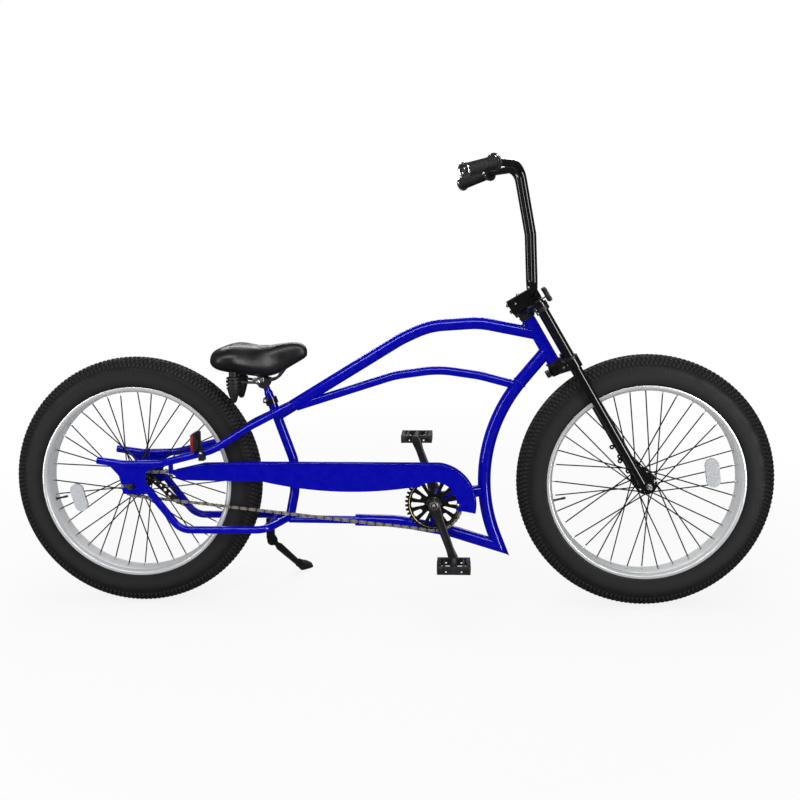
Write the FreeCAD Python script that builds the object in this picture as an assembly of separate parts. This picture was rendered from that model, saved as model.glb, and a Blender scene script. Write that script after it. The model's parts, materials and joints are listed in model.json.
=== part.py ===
import FreeCAD
import Part
import math
import os

# A chopper bicycle, parked on its side stand. Everything is drawn upright in millimetres:
# origin on the rear axle, X forward, Y to the rider's left, Z up. At the end the whole bicycle
# leans to its left until the stand's foot and both tyres share one floor.

# Driving dimensions
WHEELBASE = 1500.0
LEAN = 8.6                       # degrees to the left, onto the stand
RUN_GAP = 0.05                   # running clearance of a shaft in its bore, on the radius

RIM_OUTER_R = 285.0
RIM_SIDE_H = 8.0                 # height of the rim's straight side
RIM_H = 15.0                     # height of the whole rim
RIM_SHOULDER_R = RIM_OUTER_R - RIM_SIDE_H
RIM_INNER_R = RIM_OUTER_R - RIM_H
RIM_HALF_W = 42.0
RIM_FLOOR_HALF_W = 30.0
BEAD_HALF_W = RIM_HALF_W - 1.0
TYRE_DEPTH = 87.5                # from the rim's edge to the tread of a 26 x 4.0 tyre
TYRE_R = RIM_OUTER_R + TYRE_DEPTH
TYRE_SECTION_R = 49.5            # radius of the tyre's round section
TYRE_BAND = 25.0                 # degrees of the section that one flat band covers
TYRE_BANDS = 9
TYRE_FACETS = 60                 # flats round the tyre, one of them level on the floor
VALVE_R = 3.0
VALVE_L = 34.0
VALVE_ANGLE = 193.0              # degrees from forward
WHEEL_LENS = {"front": (196.0, 7.8), "rear": (193.0, 195.8)}   # radius and angle of its middle
WHEEL_LENS_SIZE = (40.0, 86.0, 9.0)      # along the radius, round the wheel, thick

SPOKES = 36
SPOKE_R = 1.15
SPOKE_SEAT = 0.5                 # a spoke's middle stands this far off the flange's face
FLANGE_R = 33.0
FLANGE_T = 3.0
SPOKE_CIRCLE_R = 29.0
SPOKE_CROSS = 60.0               # degrees from a spoke's hub hole to its rim hole
SPOKE_RIM_Y = 6.0                # rim holes stand this far off the middle
FLANGE_Y = {"front": 36.0, "rear": 36.0}
HUB_BODY_R = {"front": 17.0, "rear": 24.0}
HUB_HALF_L = {"front": 52.0, "rear": 56.0}
HUB_WINDOWS = {"front": 8, "rear": 0}
HUB_WINDOW_R = (20.5, 26.0)
HUB_WINDOW_TURN = 11.0           # degrees from a window's middle to its side
SPACER_R = 9.0
SPACER_GAP = 0.3                 # between a spacer and the turning hub
AXLE_R = 5.0
AXLE_END_L = 9.0                 # free thread outside the nut
NUT_AF = 17.0                    # across flats
NUT_T = 9.0

HEAD_ANGLE = 60.06               # degrees from level
FORK_OFFSET = 56.0               # front axle ahead of the steering axis
LEG_OFFSET = 46.0                # fork legs ahead of the steering axis
LEG_Y = 73.0
LEG_R = 13.0
LEG_FOOT_S = 14.0                # heights s are along the steering axis from the front axle's level
LOWER_CROWN_S = 400.0
LOWER_CROWN_T = 28.0
UPPER_CROWN_S = 600.0
UPPER_CROWN_T = 11.0
CROWN_LEG_R = 19.0
CROWN_HEAD_R = 23.0
CROWN_ARM_W = 30.0
FORK_DROPOUT_T = 8.0
FORK_TIP = [                     # u, s of its outline
    (36.0, 70.0), (58.0, 74.0), (72.0, 36.0), (75.0, 0.0), (68.0, -15.0), (44.0, -16.0), (34.0, 0.0),
]
STEERER_R = 12.7
HEAD_TUBE_S = (440.0, 584.0)
HEAD_TUBE_R = 18.5
HEADSET_R = 21.5
STEM_S = 614.0
STEM_T = 42.0
STEM_W = 42.0
STEM_U = (-32.0, 18.0)           # its rear end from the steerer, its front end from the bar's centre
BAR_CLAMP = (44.0, 26.4)         # the bar's centre ahead of the steerer and above the stem's foot

BAR_R = 11.1
BAR_SWEEP = [                    # x, y, z of the left half from the clamp's middle, out to the end
    (0.0, 75.0, 0.0),
    (-6.0, 75.0, 167.0),
    (-41.0, 78.0, 359.0),
    (-112.0, 180.0, 357.0),
    (-194.0, 268.0, 330.0),
]
BAR_BEND_R = 45.0
GRIP_R = 17.5
GRIP_RING_R = 25.0
GRIP_CAP_R = 21.0
GRIP_RING_T = 5.0
GRIP_CAP_T = 8.0

TOP_TUBE_R = 17.5
MID_TUBE_R = 12.5
SEAT_TUBE_R = 14.3
DOWN_TUBE_R = 19.0
FRAME_CLEARANCE = 74.5           # between the front tyre and the down tube
DOWN_TUBE_ARC_R = TYRE_R + FRAME_CLEARANCE + DOWN_TUBE_R
DOWN_TUBE_ARC = (140.0, 201.0)   # degrees round the front axle
BOTTOM_TUBE_R = 17.5
RAIL_R = 8.5
RAIL_Y = 12.0
STAY_R = 11.0
STAY_Y = 92.0
CORNER_L = 34.3                  # straight run from the arc to the mitre with the bottom tube
TOP_TUBE_HEAD_S = 531.0          # where the top tube meets the steering axis
TOP_TUBE_BENDS = [               # behind the front axle, height
    (480.0, 466.0),
    (628.0, 457.0),
    (710.0, 419.0),
]
TOP_TUBE_END = (419.0, 194.0)
TOP_TUBE_BEND_R = 230.0
MID_TUBE_ARC = 142.7             # where the middle tube meets the down tube's arc, degrees
MID_TUBE_BENDS = [(480.0, 312.0), (600.0, 330.0), (728.0, 313.0)]
MID_TUBE_END = (480.0, 221.0)
MID_TUBE_BEND_R = 300.0
SEAT_TUBE_ROUTE = [(403.0, 246.0), (469.0, 57.0), (469.0, -35.0), (450.0, -126.0)]
SEAT_TUBE_BEND_R = 110.0
BOTTOM_TUBE_END = (650.0, -122.0)
BOTTOM_TUBE_BENDS = [            # share of the way from its end to the corner, height
    (0.656, -153.0),
    (0.293, -125.0),
]
BOTTOM_TUBE_BEND_R = 300.0
RAIL_END = (452.0, -120.0)
UPPER_STAY_ROUTE = [
    (-97.0, STAY_Y, 77.0),
    (-15.0, STAY_Y, 65.0),
    (90.0, STAY_Y, 67.0),
    (245.0, STAY_Y - 4.0, 106.0),
    (345.0, 55.0, 168.0),
    (468.0, 19.0, 229.0),
]
LOWER_STAY_ROUTE = [
    (48.0, STAY_Y, -8.0),
    (142.0, STAY_Y, -131.0),
    (395.0, STAY_Y, -130.0),
    (452.0, 8.0, -112.0),
]
STAY_BEND_R = 120.0

BB_X, BB_Z = WHEELBASE - 613.0, -56.0   # crank axis
BB_R = 21.0
BB_HALF_W = 50.0
BB_STUB_R = 17.5
BB_STRUT_R = 14.0
BB_STUB_ARC = 183.5              # where its stub meets the down tube's arc, degrees
BB_STRUT_L = 90.0                # from the crank axis into the bottom tube

DROPOUT_T = 6.0
DROPOUT_UPPER = [(-88.0, 74.0), (-52.0, 54.0), (-35.0, 31.0)]
DROPOUT_SLOT = (-28.0, 14.0)
DROPOUT_LOWER = [
    (-23.0, -23.0), (44.0, -24.0), (58.0, -12.0), (44.0, 12.0), (44.0, 40.0), (90.0, 66.0),
]
CHAIN_Y = -60.0
PITCH = 12.7
RING_TEETH = 40
COG_TEETH = 18
PLATE_H = 8.0                    # height of a chain plate
PLATE_T = 1.2
CHAIN_GAP = 3.4                  # between the inner plates
RING_T = 2.6
TOOTH_OUT = 4.4                  # a tooth's tip outside the pitch circle
TOOTH_IN = 3.6                   # its root inside
RING_SLOTS = 14
RING_SLOT_R = (30.0, 43.0, 68.0)  # where long and short slots begin, and where both end
RING_SLOT_W = (6.5, 13.0)        # width at the inner and outer end
RING_BOSS_R = 23.0
COG_BOSS_R = 19.0
COG_BOSS_L = 10.0
GUARD_Y = -72.0
GUARD_T = 2.0
GUARD_LIP = 12.0                 # depth of the lip along the guard's upper edge
GUARD_OUTER_R = 123.0            # round the crank axis
GUARD_WINDOW_R = 66.0
GUARD_TAIL = [(104.0, 45.0), (128.0, 45.0), (216.0, 65.0), (355.0, 68.0)]
GUARD_LOBE_TURNS = (82.0, 35.0, -13.0)
GUARD_WINDOW_TURNS = (-15.0, 60.0, 130.0)
GUARD_BELLY = [(81.0, 47.0), (247.0, 36.0)]      # behind the crank axis, above it
GUARD_LOW_TAIL = [(385.0, 10.0), (238.0, 12.0), (141.0, 14.0)]
GUARD_TAB_AT = (116.0, -77.5, 51.0)
GUARD_TAB_SIZE = (12.0, 9.0, 34.0)
GUARD_POST = (103.0, 18.0, 4.5)                  # ahead of the crank axis, above it, radius
BRAKE_ARM_Y = (74.0, 78.0)
BRAKE_ARM_END = (92.0, -86.0)
BRAKE_ARM_R = (15.0, 11.0, 8.0)  # round the axle, at the arm's root and at its end
BRAKE_HOLES = (4, 34.0, 19.0, 4.6)               # count, first one's distance, step and radius
BRAKE_STRAP = (8.0, -6.0, 5.0)   # its bolt ahead of and above the arm's end, radius

SPINDLE_R = 9.0
ARM_Y = (79.0, 97.0)
ARM_L = 170.0
ARM_BOSS_R = 18.0
ARM_END_R = 14.0
ARM_ANGLE = -70.6                # right arm, degrees from forward
PEDAL_AXLE_R = 6.0
PEDAL_AXLE_END = 190.0
PEDAL_Y = (104.0, 200.0)
PEDAL_L = 96.0
PEDAL_H = 25.0
PEDAL_BARREL_R = 11.0
PEDAL_BLOCK_L = 26.0

POST_R = 12.6
POST_NECK_R = 10.0
POST_SEAT_L = 60.0               # length of the post inside the seat tube
COLLAR_R = 18.5
COLLAR_H = 18.0
NECK_LOW, NECK_HIGH = 18.0, 62.0 # where the post narrows and ends, above the seat tube
CLAMP_UP = 52.0
CLAMP_R, CLAMP_HALF_W = 17.0, 24.0
SADDLE_SIDES = 20
SADDLE_SECTIONS = [              # x, half width, top z, bottom z
    (240.0, 62.0, 384.0, 346.0),
    (262.0, 98.0, 401.0, 331.0),
    (310.0, 106.0, 413.0, 325.0),
    (370.0, 74.0, 401.0, 314.0),
    (425.0, 38.0, 404.0, 322.0),
    (480.0, 27.0, 413.0, 352.0),
    (514.0, 17.0, 400.0, 368.0),
]
SPRING_X, SPRING_Y = 305.0, 55.0
SPRING_PROFILE = [               # radius, z of the bumper from its tip to the saddle
    (0.0, 241.0), (6.0, 241.0), (9.0, 247.0), (19.0, 283.0), (16.0, 286.0), (21.0, 290.0),
    (21.0, 314.0), (13.0, 318.0), (13.0, 350.0), (0.0, 350.0),
]
WIRE_Z = 300.0                   # where the rails leave the bumpers
RAIL_WIRE_R = 4.0
WIRE_REAR = [(-12.0, 0.0), (20.0, -8.0)]         # ahead of and outside the bumper's middle
WIRE_FRONT = [(-4.0, 20.0, 0.0), (40.0, 18.0, 12.0), (70.0, 14.0, 50.0)]  # from the clamp

STAND_PIVOT = (387.0, 45.0, -193.0)
STAND_AXIS = (-0.309, 0.926, 0.216)
STAND_PIN_R = 5.0
STAND_EYE_R = 14.0
STAND_EYE_T = 17.0
STAND_LEG_R = 8.0
STAND_SHANK = (8.0, 22.0)        # beyond the elbow the leg swells from here to here
STAND_SHANK_R = (11.5, 9.5)      # and tapers to the foot
STAND_GAP = 0.3
STAND_PLATE_T = 8.0
STAND_PIN_HEAD = (9.0, 4.0)
STAND_WEB_SIZE = (24.0, 13.0, 62.0)
STAND_WEB_MIDDLE = (28.5, -157.0)
STAND_ELBOW_L = 25.0              # pivot to elbow, square to the pivot
STAND_FOOT = (462.0, 215.0)      # x, y of the foot on the floor
FOOT_R = (10.5, 15.0)            # at the leg and below the floor
FOOT_L = 50.0
BRIDGE_X, BRIDGE_Z = 398.0, -130.0
BRIDGE_R = 9.0
EYELET_R = (2.6, 7.0)
EYELET_U = LEG_OFFSET - LEG_R - 6.0
EYELET_S = (67.0, 116.0)
EYELET_T = 5.0
LENS_AT = (81.7, 17.6)           # front lens ahead of the steerer and above the upper crown
LENS_SIZE = (10.0, 56.0, 40.0)
LENS_ARM = (55.0, 80.0, 8.0, 3.0)  # from u, to u, half width, thick
REAR_LENS_AT = (193.0, 132.0)
REAR_LENS_SIZE = (14.0, 50.0, 52.0)
REAR_CLIP_AT = (214.0, 93.0)
REAR_CLIP_SIZE = (16.0, 28.0, 30.0)
REAR_ARM_AT = (206.0, 134.0)
REAR_ARM_SIZE = (12.0, 6.0, 60.0)

X_AXIS = FreeCAD.Vector(1, 0, 0)
Y_AXIS = FreeCAD.Vector(0, 1, 0)
Z_AXIS = FreeCAD.Vector(0, 0, 1)


def vec(x, y, z):
    return FreeCAD.Vector(x, y, z)


def mirrored(shape):
    """The same piece on the other side of the bicycle's middle plane."""
    return shape.mirror(vec(0, 0, 0), Y_AXIS)


def both_sides(shape):
    return Part.Compound([shape, mirrored(shape)])


def cylinder(radius, start, end):
    return Part.makeCylinder(radius, (end - start).Length, start, end - start)


def across(radius, x, z, y_low, y_high):
    """A cylinder along Y."""
    return Part.makeCylinder(radius, y_high - y_low, vec(x, y_low, z), Y_AXIS)


def block(size, x, y, z):
    """A box about its middle."""
    length, width, height = size
    return Part.makeBox(length, width, height, vec(x - length / 2, y - width / 2, z - height / 2))


def in_plane(points):
    return [vec(x, 0, z) for x, z in points]


def bent_path(points, bend_r):
    """Straight runs joined by tangent arcs, smaller where the runs leave less room."""
    edges, start = [], points[0]
    for before, corner, after in zip(points, points[1:], points[2:]):
        back = (before - corner).normalize()
        ahead = (after - corner).normalize()
        half = back.getAngle(ahead) / 2
        room = 0.48 * min((before - corner).Length, (after - corner).Length)
        reach = min(bend_r / math.tan(half), room)
        radius = reach * math.tan(half)
        middle = corner + (back + ahead).normalize() * (radius / math.sin(half) - radius)
        arc_start, arc_end = corner + back * reach, corner + ahead * reach
        edges.append(Part.LineSegment(start, arc_start).toShape())
        edges.append(Part.Arc(arc_start, middle, arc_end).toShape())
        start = arc_end
    edges.append(Part.LineSegment(start, points[-1]).toShape())
    return Part.Wire(edges)


def bent_tube(points, radius, bend_r):
    return swept(bent_path(points, bend_r), radius, points[0], points[1] - points[0])


def swept(path, radius, start, direction):
    circle = Part.Wire(Part.Circle(start, direction, radius).toShape())
    return path.makePipeShell([circle], True, False)


def plate(points, y_low, y_high):
    """A flat plate with a straight-sided outline of (x, z) points, between two Y planes."""
    outline = Part.makePolygon([vec(x, y_low, z) for x, z in points + points[:1]])
    return Part.Face(outline).extrude(vec(0, y_high - y_low, 0))


def polar(radius, degrees, x=0.0, z=0.0):
    angle = math.radians(degrees)
    return x + radius * math.cos(angle), z + radius * math.sin(angle)


def hexagon_nut(x, z, y_low, y_high):
    corner_r = NUT_AF / 2 / math.cos(math.radians(30))
    return plate([polar(corner_r, 60 * k, x, z) for k in range(6)], y_low, y_high)


# The steering frame: u points forward and square to the steering axis, s up along it.
HEAD = math.radians(HEAD_ANGLE)
S_DIR = vec(-math.cos(HEAD), 0, math.sin(HEAD))
U_DIR = vec(math.sin(HEAD), 0, math.cos(HEAD))
FRONT_AXLE = vec(WHEELBASE, 0, 0)
STEER_ORIGIN = FRONT_AXLE - U_DIR * FORK_OFFSET


def steer(u, y, s):
    return STEER_ORIGIN + U_DIR * u + Y_AXIS * y + S_DIR * s


def steer_block(points, s_low, s_high):
    """A block whose outline of (u, y) points is square to the steering axis."""
    outline = Part.makePolygon([steer(u, y, s_low) for u, y in points + points[:1]])
    return Part.Face(outline).extrude(S_DIR * (s_high - s_low))


def smoothed(rows):
    """The rows with two more between each pair, on a curve through all of them."""
    padded = [rows[0]] + rows + [rows[-1]]
    fuller = []
    for a, b, c, d in zip(padded, padded[1:], padded[2:], padded[3:]):
        for t in (0.0, 1 / 3, 2 / 3):
            fuller.append([
                q + t * (r - p) / 2 + t * t * (p - 2.5 * q + 2 * r - s / 2)
                + t ** 3 * (1.5 * (q - r) + (s - p) / 2) for p, q, r, s in zip(a, b, c, d)])
    return fuller + [list(rows[-1])]


def side_plate(points, y_low, y_high):
    """A flat plate with an outline of (u, s) points, between two Y planes."""
    outline = Part.makePolygon([steer(u, y_low, s) for u, s in points + points[:1]])
    return Part.Face(outline).extrude(vec(0, y_high - y_low, 0))


def faceted(rings, close_ends):
    """A solid with flat faces between like rings of points, closed in a loop or by end faces."""
    faces = []
    pairs = list(zip(rings, rings[1:]))
    if not close_ends:
        pairs.append((rings[-1], rings[0]))
    for ring, following in pairs:
        for k, point in enumerate(ring):
            after = (k + 1) % len(ring)
            corners = [point, ring[after], following[after], following[k]]
            if close_ends:
                faces += [flat(corners[:3]), flat([corners[0], corners[2], corners[3]])]
            else:
                faces.append(flat(corners))
    if close_ends:
        faces += [flat(rings[0]), flat(rings[-1])]
    solid = Part.Solid(Part.Shell(faces))
    if solid.Volume < 0:
        solid.reverse()
    return solid


def flat(corners):
    return Part.Face(Part.makePolygon(corners + corners[:1]))


def revolved(profile, x):
    """A ring about the wheel's axle, from a closed outline of (y, radius) points."""
    outline = Part.makePolygon([vec(x, y, r) for y, r in profile + profile[:1]])
    return Part.Face(outline).revolve(vec(x, 0, 0), Y_AXIS, 360)


# Wheels
TYRE_CENTRE_R = TYRE_R - TYRE_SECTION_R * math.cos(math.radians(TYRE_BAND / 2))


def tyre_outline():
    """Flat bands round the section, from one bead over the crown to the other."""
    points = [(-BEAD_HALF_W, RIM_OUTER_R)]
    for k in range(TYRE_BANDS + 1):
        turn = math.radians(TYRE_BAND * (k - TYRE_BANDS / 2))
        points.append((TYRE_SECTION_R * math.sin(turn), TYRE_CENTRE_R + TYRE_SECTION_R * math.cos(turn)))
    points.append((BEAD_HALF_W, RIM_OUTER_R))
    return points


def tyre(x):
    """A many-sided ring whose flats have the outline's radii, with one flat on the floor."""
    corner_share = 1 / math.cos(math.pi / TYRE_FACETS)
    rings = []
    for k in range(TYRE_FACETS):
        turn = -90 + 360 / TYRE_FACETS * (k + 0.5)
        ring = []
        for y, r in tyre_outline():
            point_x, point_z = polar(r * corner_share, turn, x)
            ring.append(vec(point_x, y, point_z))
        rings.append(ring)
    return faceted(rings, False)


def rim_valve(x):
    """The tube's valve, standing in from the rim."""
    inner_x, inner_z = polar(RIM_INNER_R - VALVE_L, VALVE_ANGLE, x)
    outer_x, outer_z = polar(RIM_INNER_R + 2, VALVE_ANGLE, x)
    return cylinder(VALVE_R, vec(inner_x, 0, inner_z), vec(outer_x, 0, outer_z))


def wheel_lens(x, end, hub):
    """A reflector clipped on the near spokes, which it is cut to fit."""
    radius, angle = WHEEL_LENS[end]
    depth, length, thick = WHEEL_LENS_SIZE
    share = (radius - SPOKE_CIRCLE_R) / (RIM_INNER_R - SPOKE_CIRCLE_R)
    middle_y = -FLANGE_Y[end] + (FLANGE_Y[end] - SPOKE_RIM_Y) * share
    corner = (length - depth) / 2
    lens = Part.makeBox(depth, thick, length - depth, vec(-depth / 2, -thick / 2, -corner))
    ends = [across(depth / 2, 0, z, -thick / 2, thick / 2) for z in (-corner, corner)]
    lens = lens.multiFuse(ends)
    lens.translate(vec(radius, middle_y, 0))
    lens.rotate(vec(0, 0, 0), Y_AXIS, -angle)
    lens.translate(vec(x, 0, 0))
    return max(lens.cut(hub).Solids, key=lambda solid: solid.Volume)


def rim_outline():
    half = [(RIM_HALF_W, RIM_OUTER_R), (RIM_HALF_W, RIM_SHOULDER_R), (RIM_FLOOR_HALF_W, RIM_INNER_R)]
    return half + [(-y, r) for y, r in reversed(half)]


def spoke(hub_point, rim_point):
    """A six-sided rod from a hub flange to the rim's inner face."""
    along = rim_point - hub_point
    side = along.cross(Y_AXIS).normalize()
    other = along.cross(side).normalize()
    corners = []
    for k in range(6):
        turn = math.radians(60 * k)
        corners.append(hub_point + side * (SPOKE_R * math.cos(turn)) + other * (SPOKE_R * math.sin(turn)))
    return Part.Face(Part.makePolygon(corners + corners[:1])).extrude(along)


def spokes(x, flange_y):
    """Half the spokes leave each flange, every other one the other way round the hub."""
    rods = []
    step = 360.0 / (SPOKES // 2)
    for side in (-1, 1):
        for k in range(SPOKES // 2):
            turn_way = 1 if k % 2 else -1
            hub_angle = step * k + (step / 2 if side > 0 else 0)
            outside = side * turn_way * (FLANGE_T / 2 + SPOKE_SEAT)
            hub_x, hub_z = polar(SPOKE_CIRCLE_R, hub_angle, x)
            rim_x, rim_z = polar(RIM_INNER_R + 3, hub_angle + turn_way * SPOKE_CROSS, x)
            hub_point = vec(hub_x, side * flange_y + outside, hub_z)
            rim_point = vec(rim_x, side * SPOKE_RIM_Y, rim_z)
            rods.append(spoke(hub_point, rim_point))
    reach = across(RIM_INNER_R, x, 0, -flange_y - 20, flange_y + 20)
    return [rod.common(reach) for rod in rods]


def spoked_hub(x, end):
    flange_y = FLANGE_Y[end]
    half_l = HUB_HALF_L[end]
    body = across(HUB_BODY_R[end], x, 0, -half_l, half_l)
    flanges = [across(FLANGE_R, x, 0, side * flange_y - FLANGE_T / 2, side * flange_y + FLANGE_T / 2)
               for side in (-1, 1)]
    windows = hub_windows(x, end, flange_y + FLANGE_T)
    if windows:
        flanges = [flange.cut(windows) for flange in flanges]
    hub = body.multiFuse(flanges + spokes(x, flange_y))
    return hub.cut(across(AXLE_R + RUN_GAP, x, 0, -half_l - 1, half_l + 1))


def hub_windows(x, end, reach):
    """The slots that lighten a flange, inside its circle of spoke holes."""
    inner, outer = HUB_WINDOW_R
    slots = []
    for k in range(HUB_WINDOWS[end]):
        middle = 360.0 / HUB_WINDOWS[end] * k
        turns = (-HUB_WINDOW_TURN, 0, HUB_WINDOW_TURN)
        outline = [polar(outer, middle + turn, x) for turn in turns]
        outline += [polar(inner, middle - turn, x) for turn in turns]
        slots.append(plate(outline, -reach, reach))
    return slots


def wheel(x, end, nodes):
    nodes[end + "_tyre"] = tyre(x)
    nodes[end + "_rim"] = revolved(rim_outline(), x).fuse(rim_valve(x))
    nodes[end + "_spoked_hub"] = spoked_hub(x, end)
    nodes[end + "_wheel_reflector"] = wheel_lens(x, end, nodes[end + "_spoked_hub"])


def axle(x, z, end, inner_y, outer_y):
    """The fixed axle with spacers inside the dropouts, nuts outside and free thread beyond them."""
    tip_y = outer_y + NUT_T + AXLE_END_L
    rod = across(AXLE_R, x, z, -tip_y, tip_y)
    left_nut = hexagon_nut(x, z, outer_y, outer_y + NUT_T)
    spacer = across(SPACER_R, x, z, HUB_HALF_L[end] + SPACER_GAP, inner_y)
    return rod.multiFuse([left_nut, mirrored(left_nut), spacer, mirrored(spacer)])


# Frame
def steering_x(z):
    return STEER_ORIGIN.x - (z - STEER_ORIGIN.z) / math.tan(HEAD)


def head_tube(nodes):
    low, high = steer(0, 0, HEAD_TUBE_S[0]), steer(0, 0, HEAD_TUBE_S[1])
    bore = cylinder(STEERER_R + 3, low - S_DIR, high + S_DIR)
    nodes["head_tube"] = cylinder(HEAD_TUBE_R, low, high).cut(bore)
    lower_cup = cylinder(HEADSET_R, steer(0, 0, LOWER_CROWN_S + LOWER_CROWN_T + 0.3), low)
    upper_cup = cylinder(HEADSET_R, high, steer(0, 0, UPPER_CROWN_S - 0.3))
    steerer_bore = cylinder(STEERER_R + RUN_GAP, steer(0, 0, LOWER_CROWN_S), steer(0, 0, STEM_S))
    nodes["headset"] = Part.Compound([lower_cup.cut(steerer_bore), upper_cup.cut(steerer_bore)])


def on_down_tube(degrees):
    """A point of the down tube's arc round the front axle."""
    x, z = polar(DOWN_TUBE_ARC_R, degrees, WHEELBASE)
    return vec(x, 0, z)


def down_tube_solid(end_beyond):
    """An arc round the front axle, with straight ends to the head tube and to the mitre."""
    first, last = DOWN_TUBE_ARC
    start, middle, stop = on_down_tube(first), on_down_tube((first + last) / 2), on_down_tube(last)
    up = vec(math.sin(math.radians(first)), 0, -math.cos(math.radians(first)))
    down = vec(-math.sin(math.radians(last)), 0, math.cos(math.radians(last)))
    head_gap = (steering_x(start.z) - start.x) / (up.x + up.z / math.tan(HEAD))
    top = start + up * head_gap
    bottom = stop + down * end_beyond
    edges = [
        Part.LineSegment(top, start).toShape(),
        Part.Arc(start, middle, stop).toShape(),
        Part.LineSegment(stop, bottom).toShape(),
    ]
    return swept(Part.Wire(edges), DOWN_TUBE_R, top, start - top), down


def main_frame(nodes):
    head_solid = cylinder(HEAD_TUBE_R, steer(0, 0, HEAD_TUBE_S[0] - 30), steer(0, 0, HEAD_TUBE_S[1] + 30))
    down, down_dir = down_tube_solid(CORNER_L + 3 * DOWN_TUBE_R)
    corner = on_down_tube(DOWN_TUBE_ARC[1]) + down_dir * CORNER_L
    end_x, end_z = BOTTOM_TUBE_END
    bends = [(end_x + share * (corner.x - end_x), z) for share, z in BOTTOM_TUBE_BENDS]
    bottom_points = in_plane([(corner.x, corner.z)] + bends + [BOTTOM_TUBE_END])
    bottom_dir = (bottom_points[1] - bottom_points[0]).normalize()
    bottom_points[0] = corner - bottom_dir * 3 * BOTTOM_TUBE_R
    bottom = bent_tube(bottom_points, BOTTOM_TUBE_R, BOTTOM_TUBE_BEND_R)
    # the mitre plane holds the corner and halves the angle between the two tubes
    mitre_normal = (down_dir + bottom_dir).normalize()
    front_half = Part.makeBox(400, 400, 400, corner - vec(200, 200, 0))
    front_half.rotate(corner, Y_AXIS, math.degrees(math.atan2(-mitre_normal.x, -mitre_normal.z)) + 180)
    back_half = front_half.copy()
    back_half.rotate(corner, Y_AXIS, 180)
    if (front_half.CenterOfMass - corner).dot(down_dir) < 0:
        front_half, back_half = back_half, front_half
    down = down.cut(front_half).cut(head_solid)
    bottom = bottom.cut(back_half)

    seat = bent_tube(in_plane(SEAT_TUBE_ROUTE), SEAT_TUBE_R, SEAT_TUBE_BEND_R)
    seat_top = in_plane(SEAT_TUBE_ROUTE)[0]
    seat_dir = (in_plane(SEAT_TUBE_ROUTE)[1] - seat_top).normalize()
    post_bore = cylinder(POST_R, seat_top - seat_dir, seat_top + seat_dir * POST_SEAT_L)
    seat_outside = seat
    seat = seat.cut(post_bore)

    top_bends = [(WHEELBASE - behind, z) for behind, z in TOP_TUBE_BENDS]
    top_points = [steer(0, 0, TOP_TUBE_HEAD_S)] + in_plane(top_bends + [TOP_TUBE_END])
    top = bent_tube(top_points, TOP_TUBE_R, TOP_TUBE_BEND_R)
    top = top.cut(head_solid).cut(seat_outside).cut(down)
    top = max(top.Solids, key=lambda solid: solid.Volume)
    mid_bends = [(WHEELBASE - behind, z) for behind, z in MID_TUBE_BENDS]
    mid_points = [on_down_tube(MID_TUBE_ARC)] + in_plane(mid_bends + [MID_TUBE_END])
    mid = bent_tube(mid_points, MID_TUBE_R, MID_TUBE_BEND_R)
    mid = mid.cut(top).cut(down)
    mid = max(mid.Solids, key=lambda solid: solid.Volume)

    rail = cylinder(RAIL_R, vec(end_x, RAIL_Y, end_z), vec(RAIL_END[0], RAIL_Y, RAIL_END[1]))
    rails = [solid.cut(seat_outside).cut(bottom) for solid in (rail, mirrored(rail))]
    nodes["under_rails"] = Part.Compound([max(r.Solids, key=lambda s: s.Volume) for r in rails])

    shell = across(BB_R, BB_X, BB_Z, -BB_HALF_W, BB_HALF_W)
    spindle_bore = across(SPINDLE_R + RUN_GAP, BB_X, BB_Z, -BB_HALF_W - 1, BB_HALF_W + 1)
    centre = vec(BB_X, 0, BB_Z)
    stub = cylinder(BB_STUB_R, centre, on_down_tube(BB_STUB_ARC)).cut(down)
    strut = cylinder(BB_STRUT_R, centre, centre - Z_AXIS * BB_STRUT_L).cut(bottom)
    stub = max(stub.Solids, key=lambda solid: solid.Volume)
    strut = max(strut.Solids, key=lambda solid: solid.Volume)
    nodes["bottom_bracket"] = shell.multiFuse([stub, strut]).cut(spindle_bore)

    nodes["top_tube"] = top
    nodes["mid_tube"] = mid
    nodes["seat_tube"] = seat
    nodes["down_tube"] = down
    nodes["bottom_tube"] = bottom
    return seat_outside


def stays(nodes, seat_outside):
    upper = bent_tube([vec(*point) for point in UPPER_STAY_ROUTE], STAY_R, STAY_BEND_R)
    upper = upper.cut(nodes["top_tube"]).cut(seat_outside)
    upper = max(upper.Solids, key=lambda solid: solid.Volume)
    nodes["upper_stays"] = both_sides(upper)

    lower = bent_tube([vec(*point) for point in LOWER_STAY_ROUTE], STAY_R, STAY_BEND_R / 2)
    lower = lower.cut(seat_outside).cut(nodes["under_rails"])
    lower = max(lower.Solids, key=lambda solid: solid.Volume)
    nodes["lower_stays"] = both_sides(lower)

    slot = AXLE_R + RUN_GAP
    slot_rear, slot_front = DROPOUT_SLOT
    slot_outline = [(slot_rear, slot), (slot_front, slot), (slot_front, -slot), (slot_rear, -slot)]
    outline = DROPOUT_UPPER + slot_outline + DROPOUT_LOWER
    drop = plate(outline, STAY_Y - DROPOUT_T / 2, STAY_Y + DROPOUT_T / 2).cut(upper).cut(lower)
    drop = max(drop.Solids, key=lambda solid: solid.Volume)
    nodes["dropouts"] = both_sides(drop)

    bridge_half = STAY_Y - STAY_R / 2
    bridge = across(BRIDGE_R, BRIDGE_X, BRIDGE_Z, -bridge_half, bridge_half).cut(nodes["lower_stays"])
    nodes["stand_bridge"] = max(bridge.Solids, key=lambda solid: solid.Volume)


# Drive
def pitch_radius(teeth):
    return PITCH / 2 / math.sin(math.pi / teeth)


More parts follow.
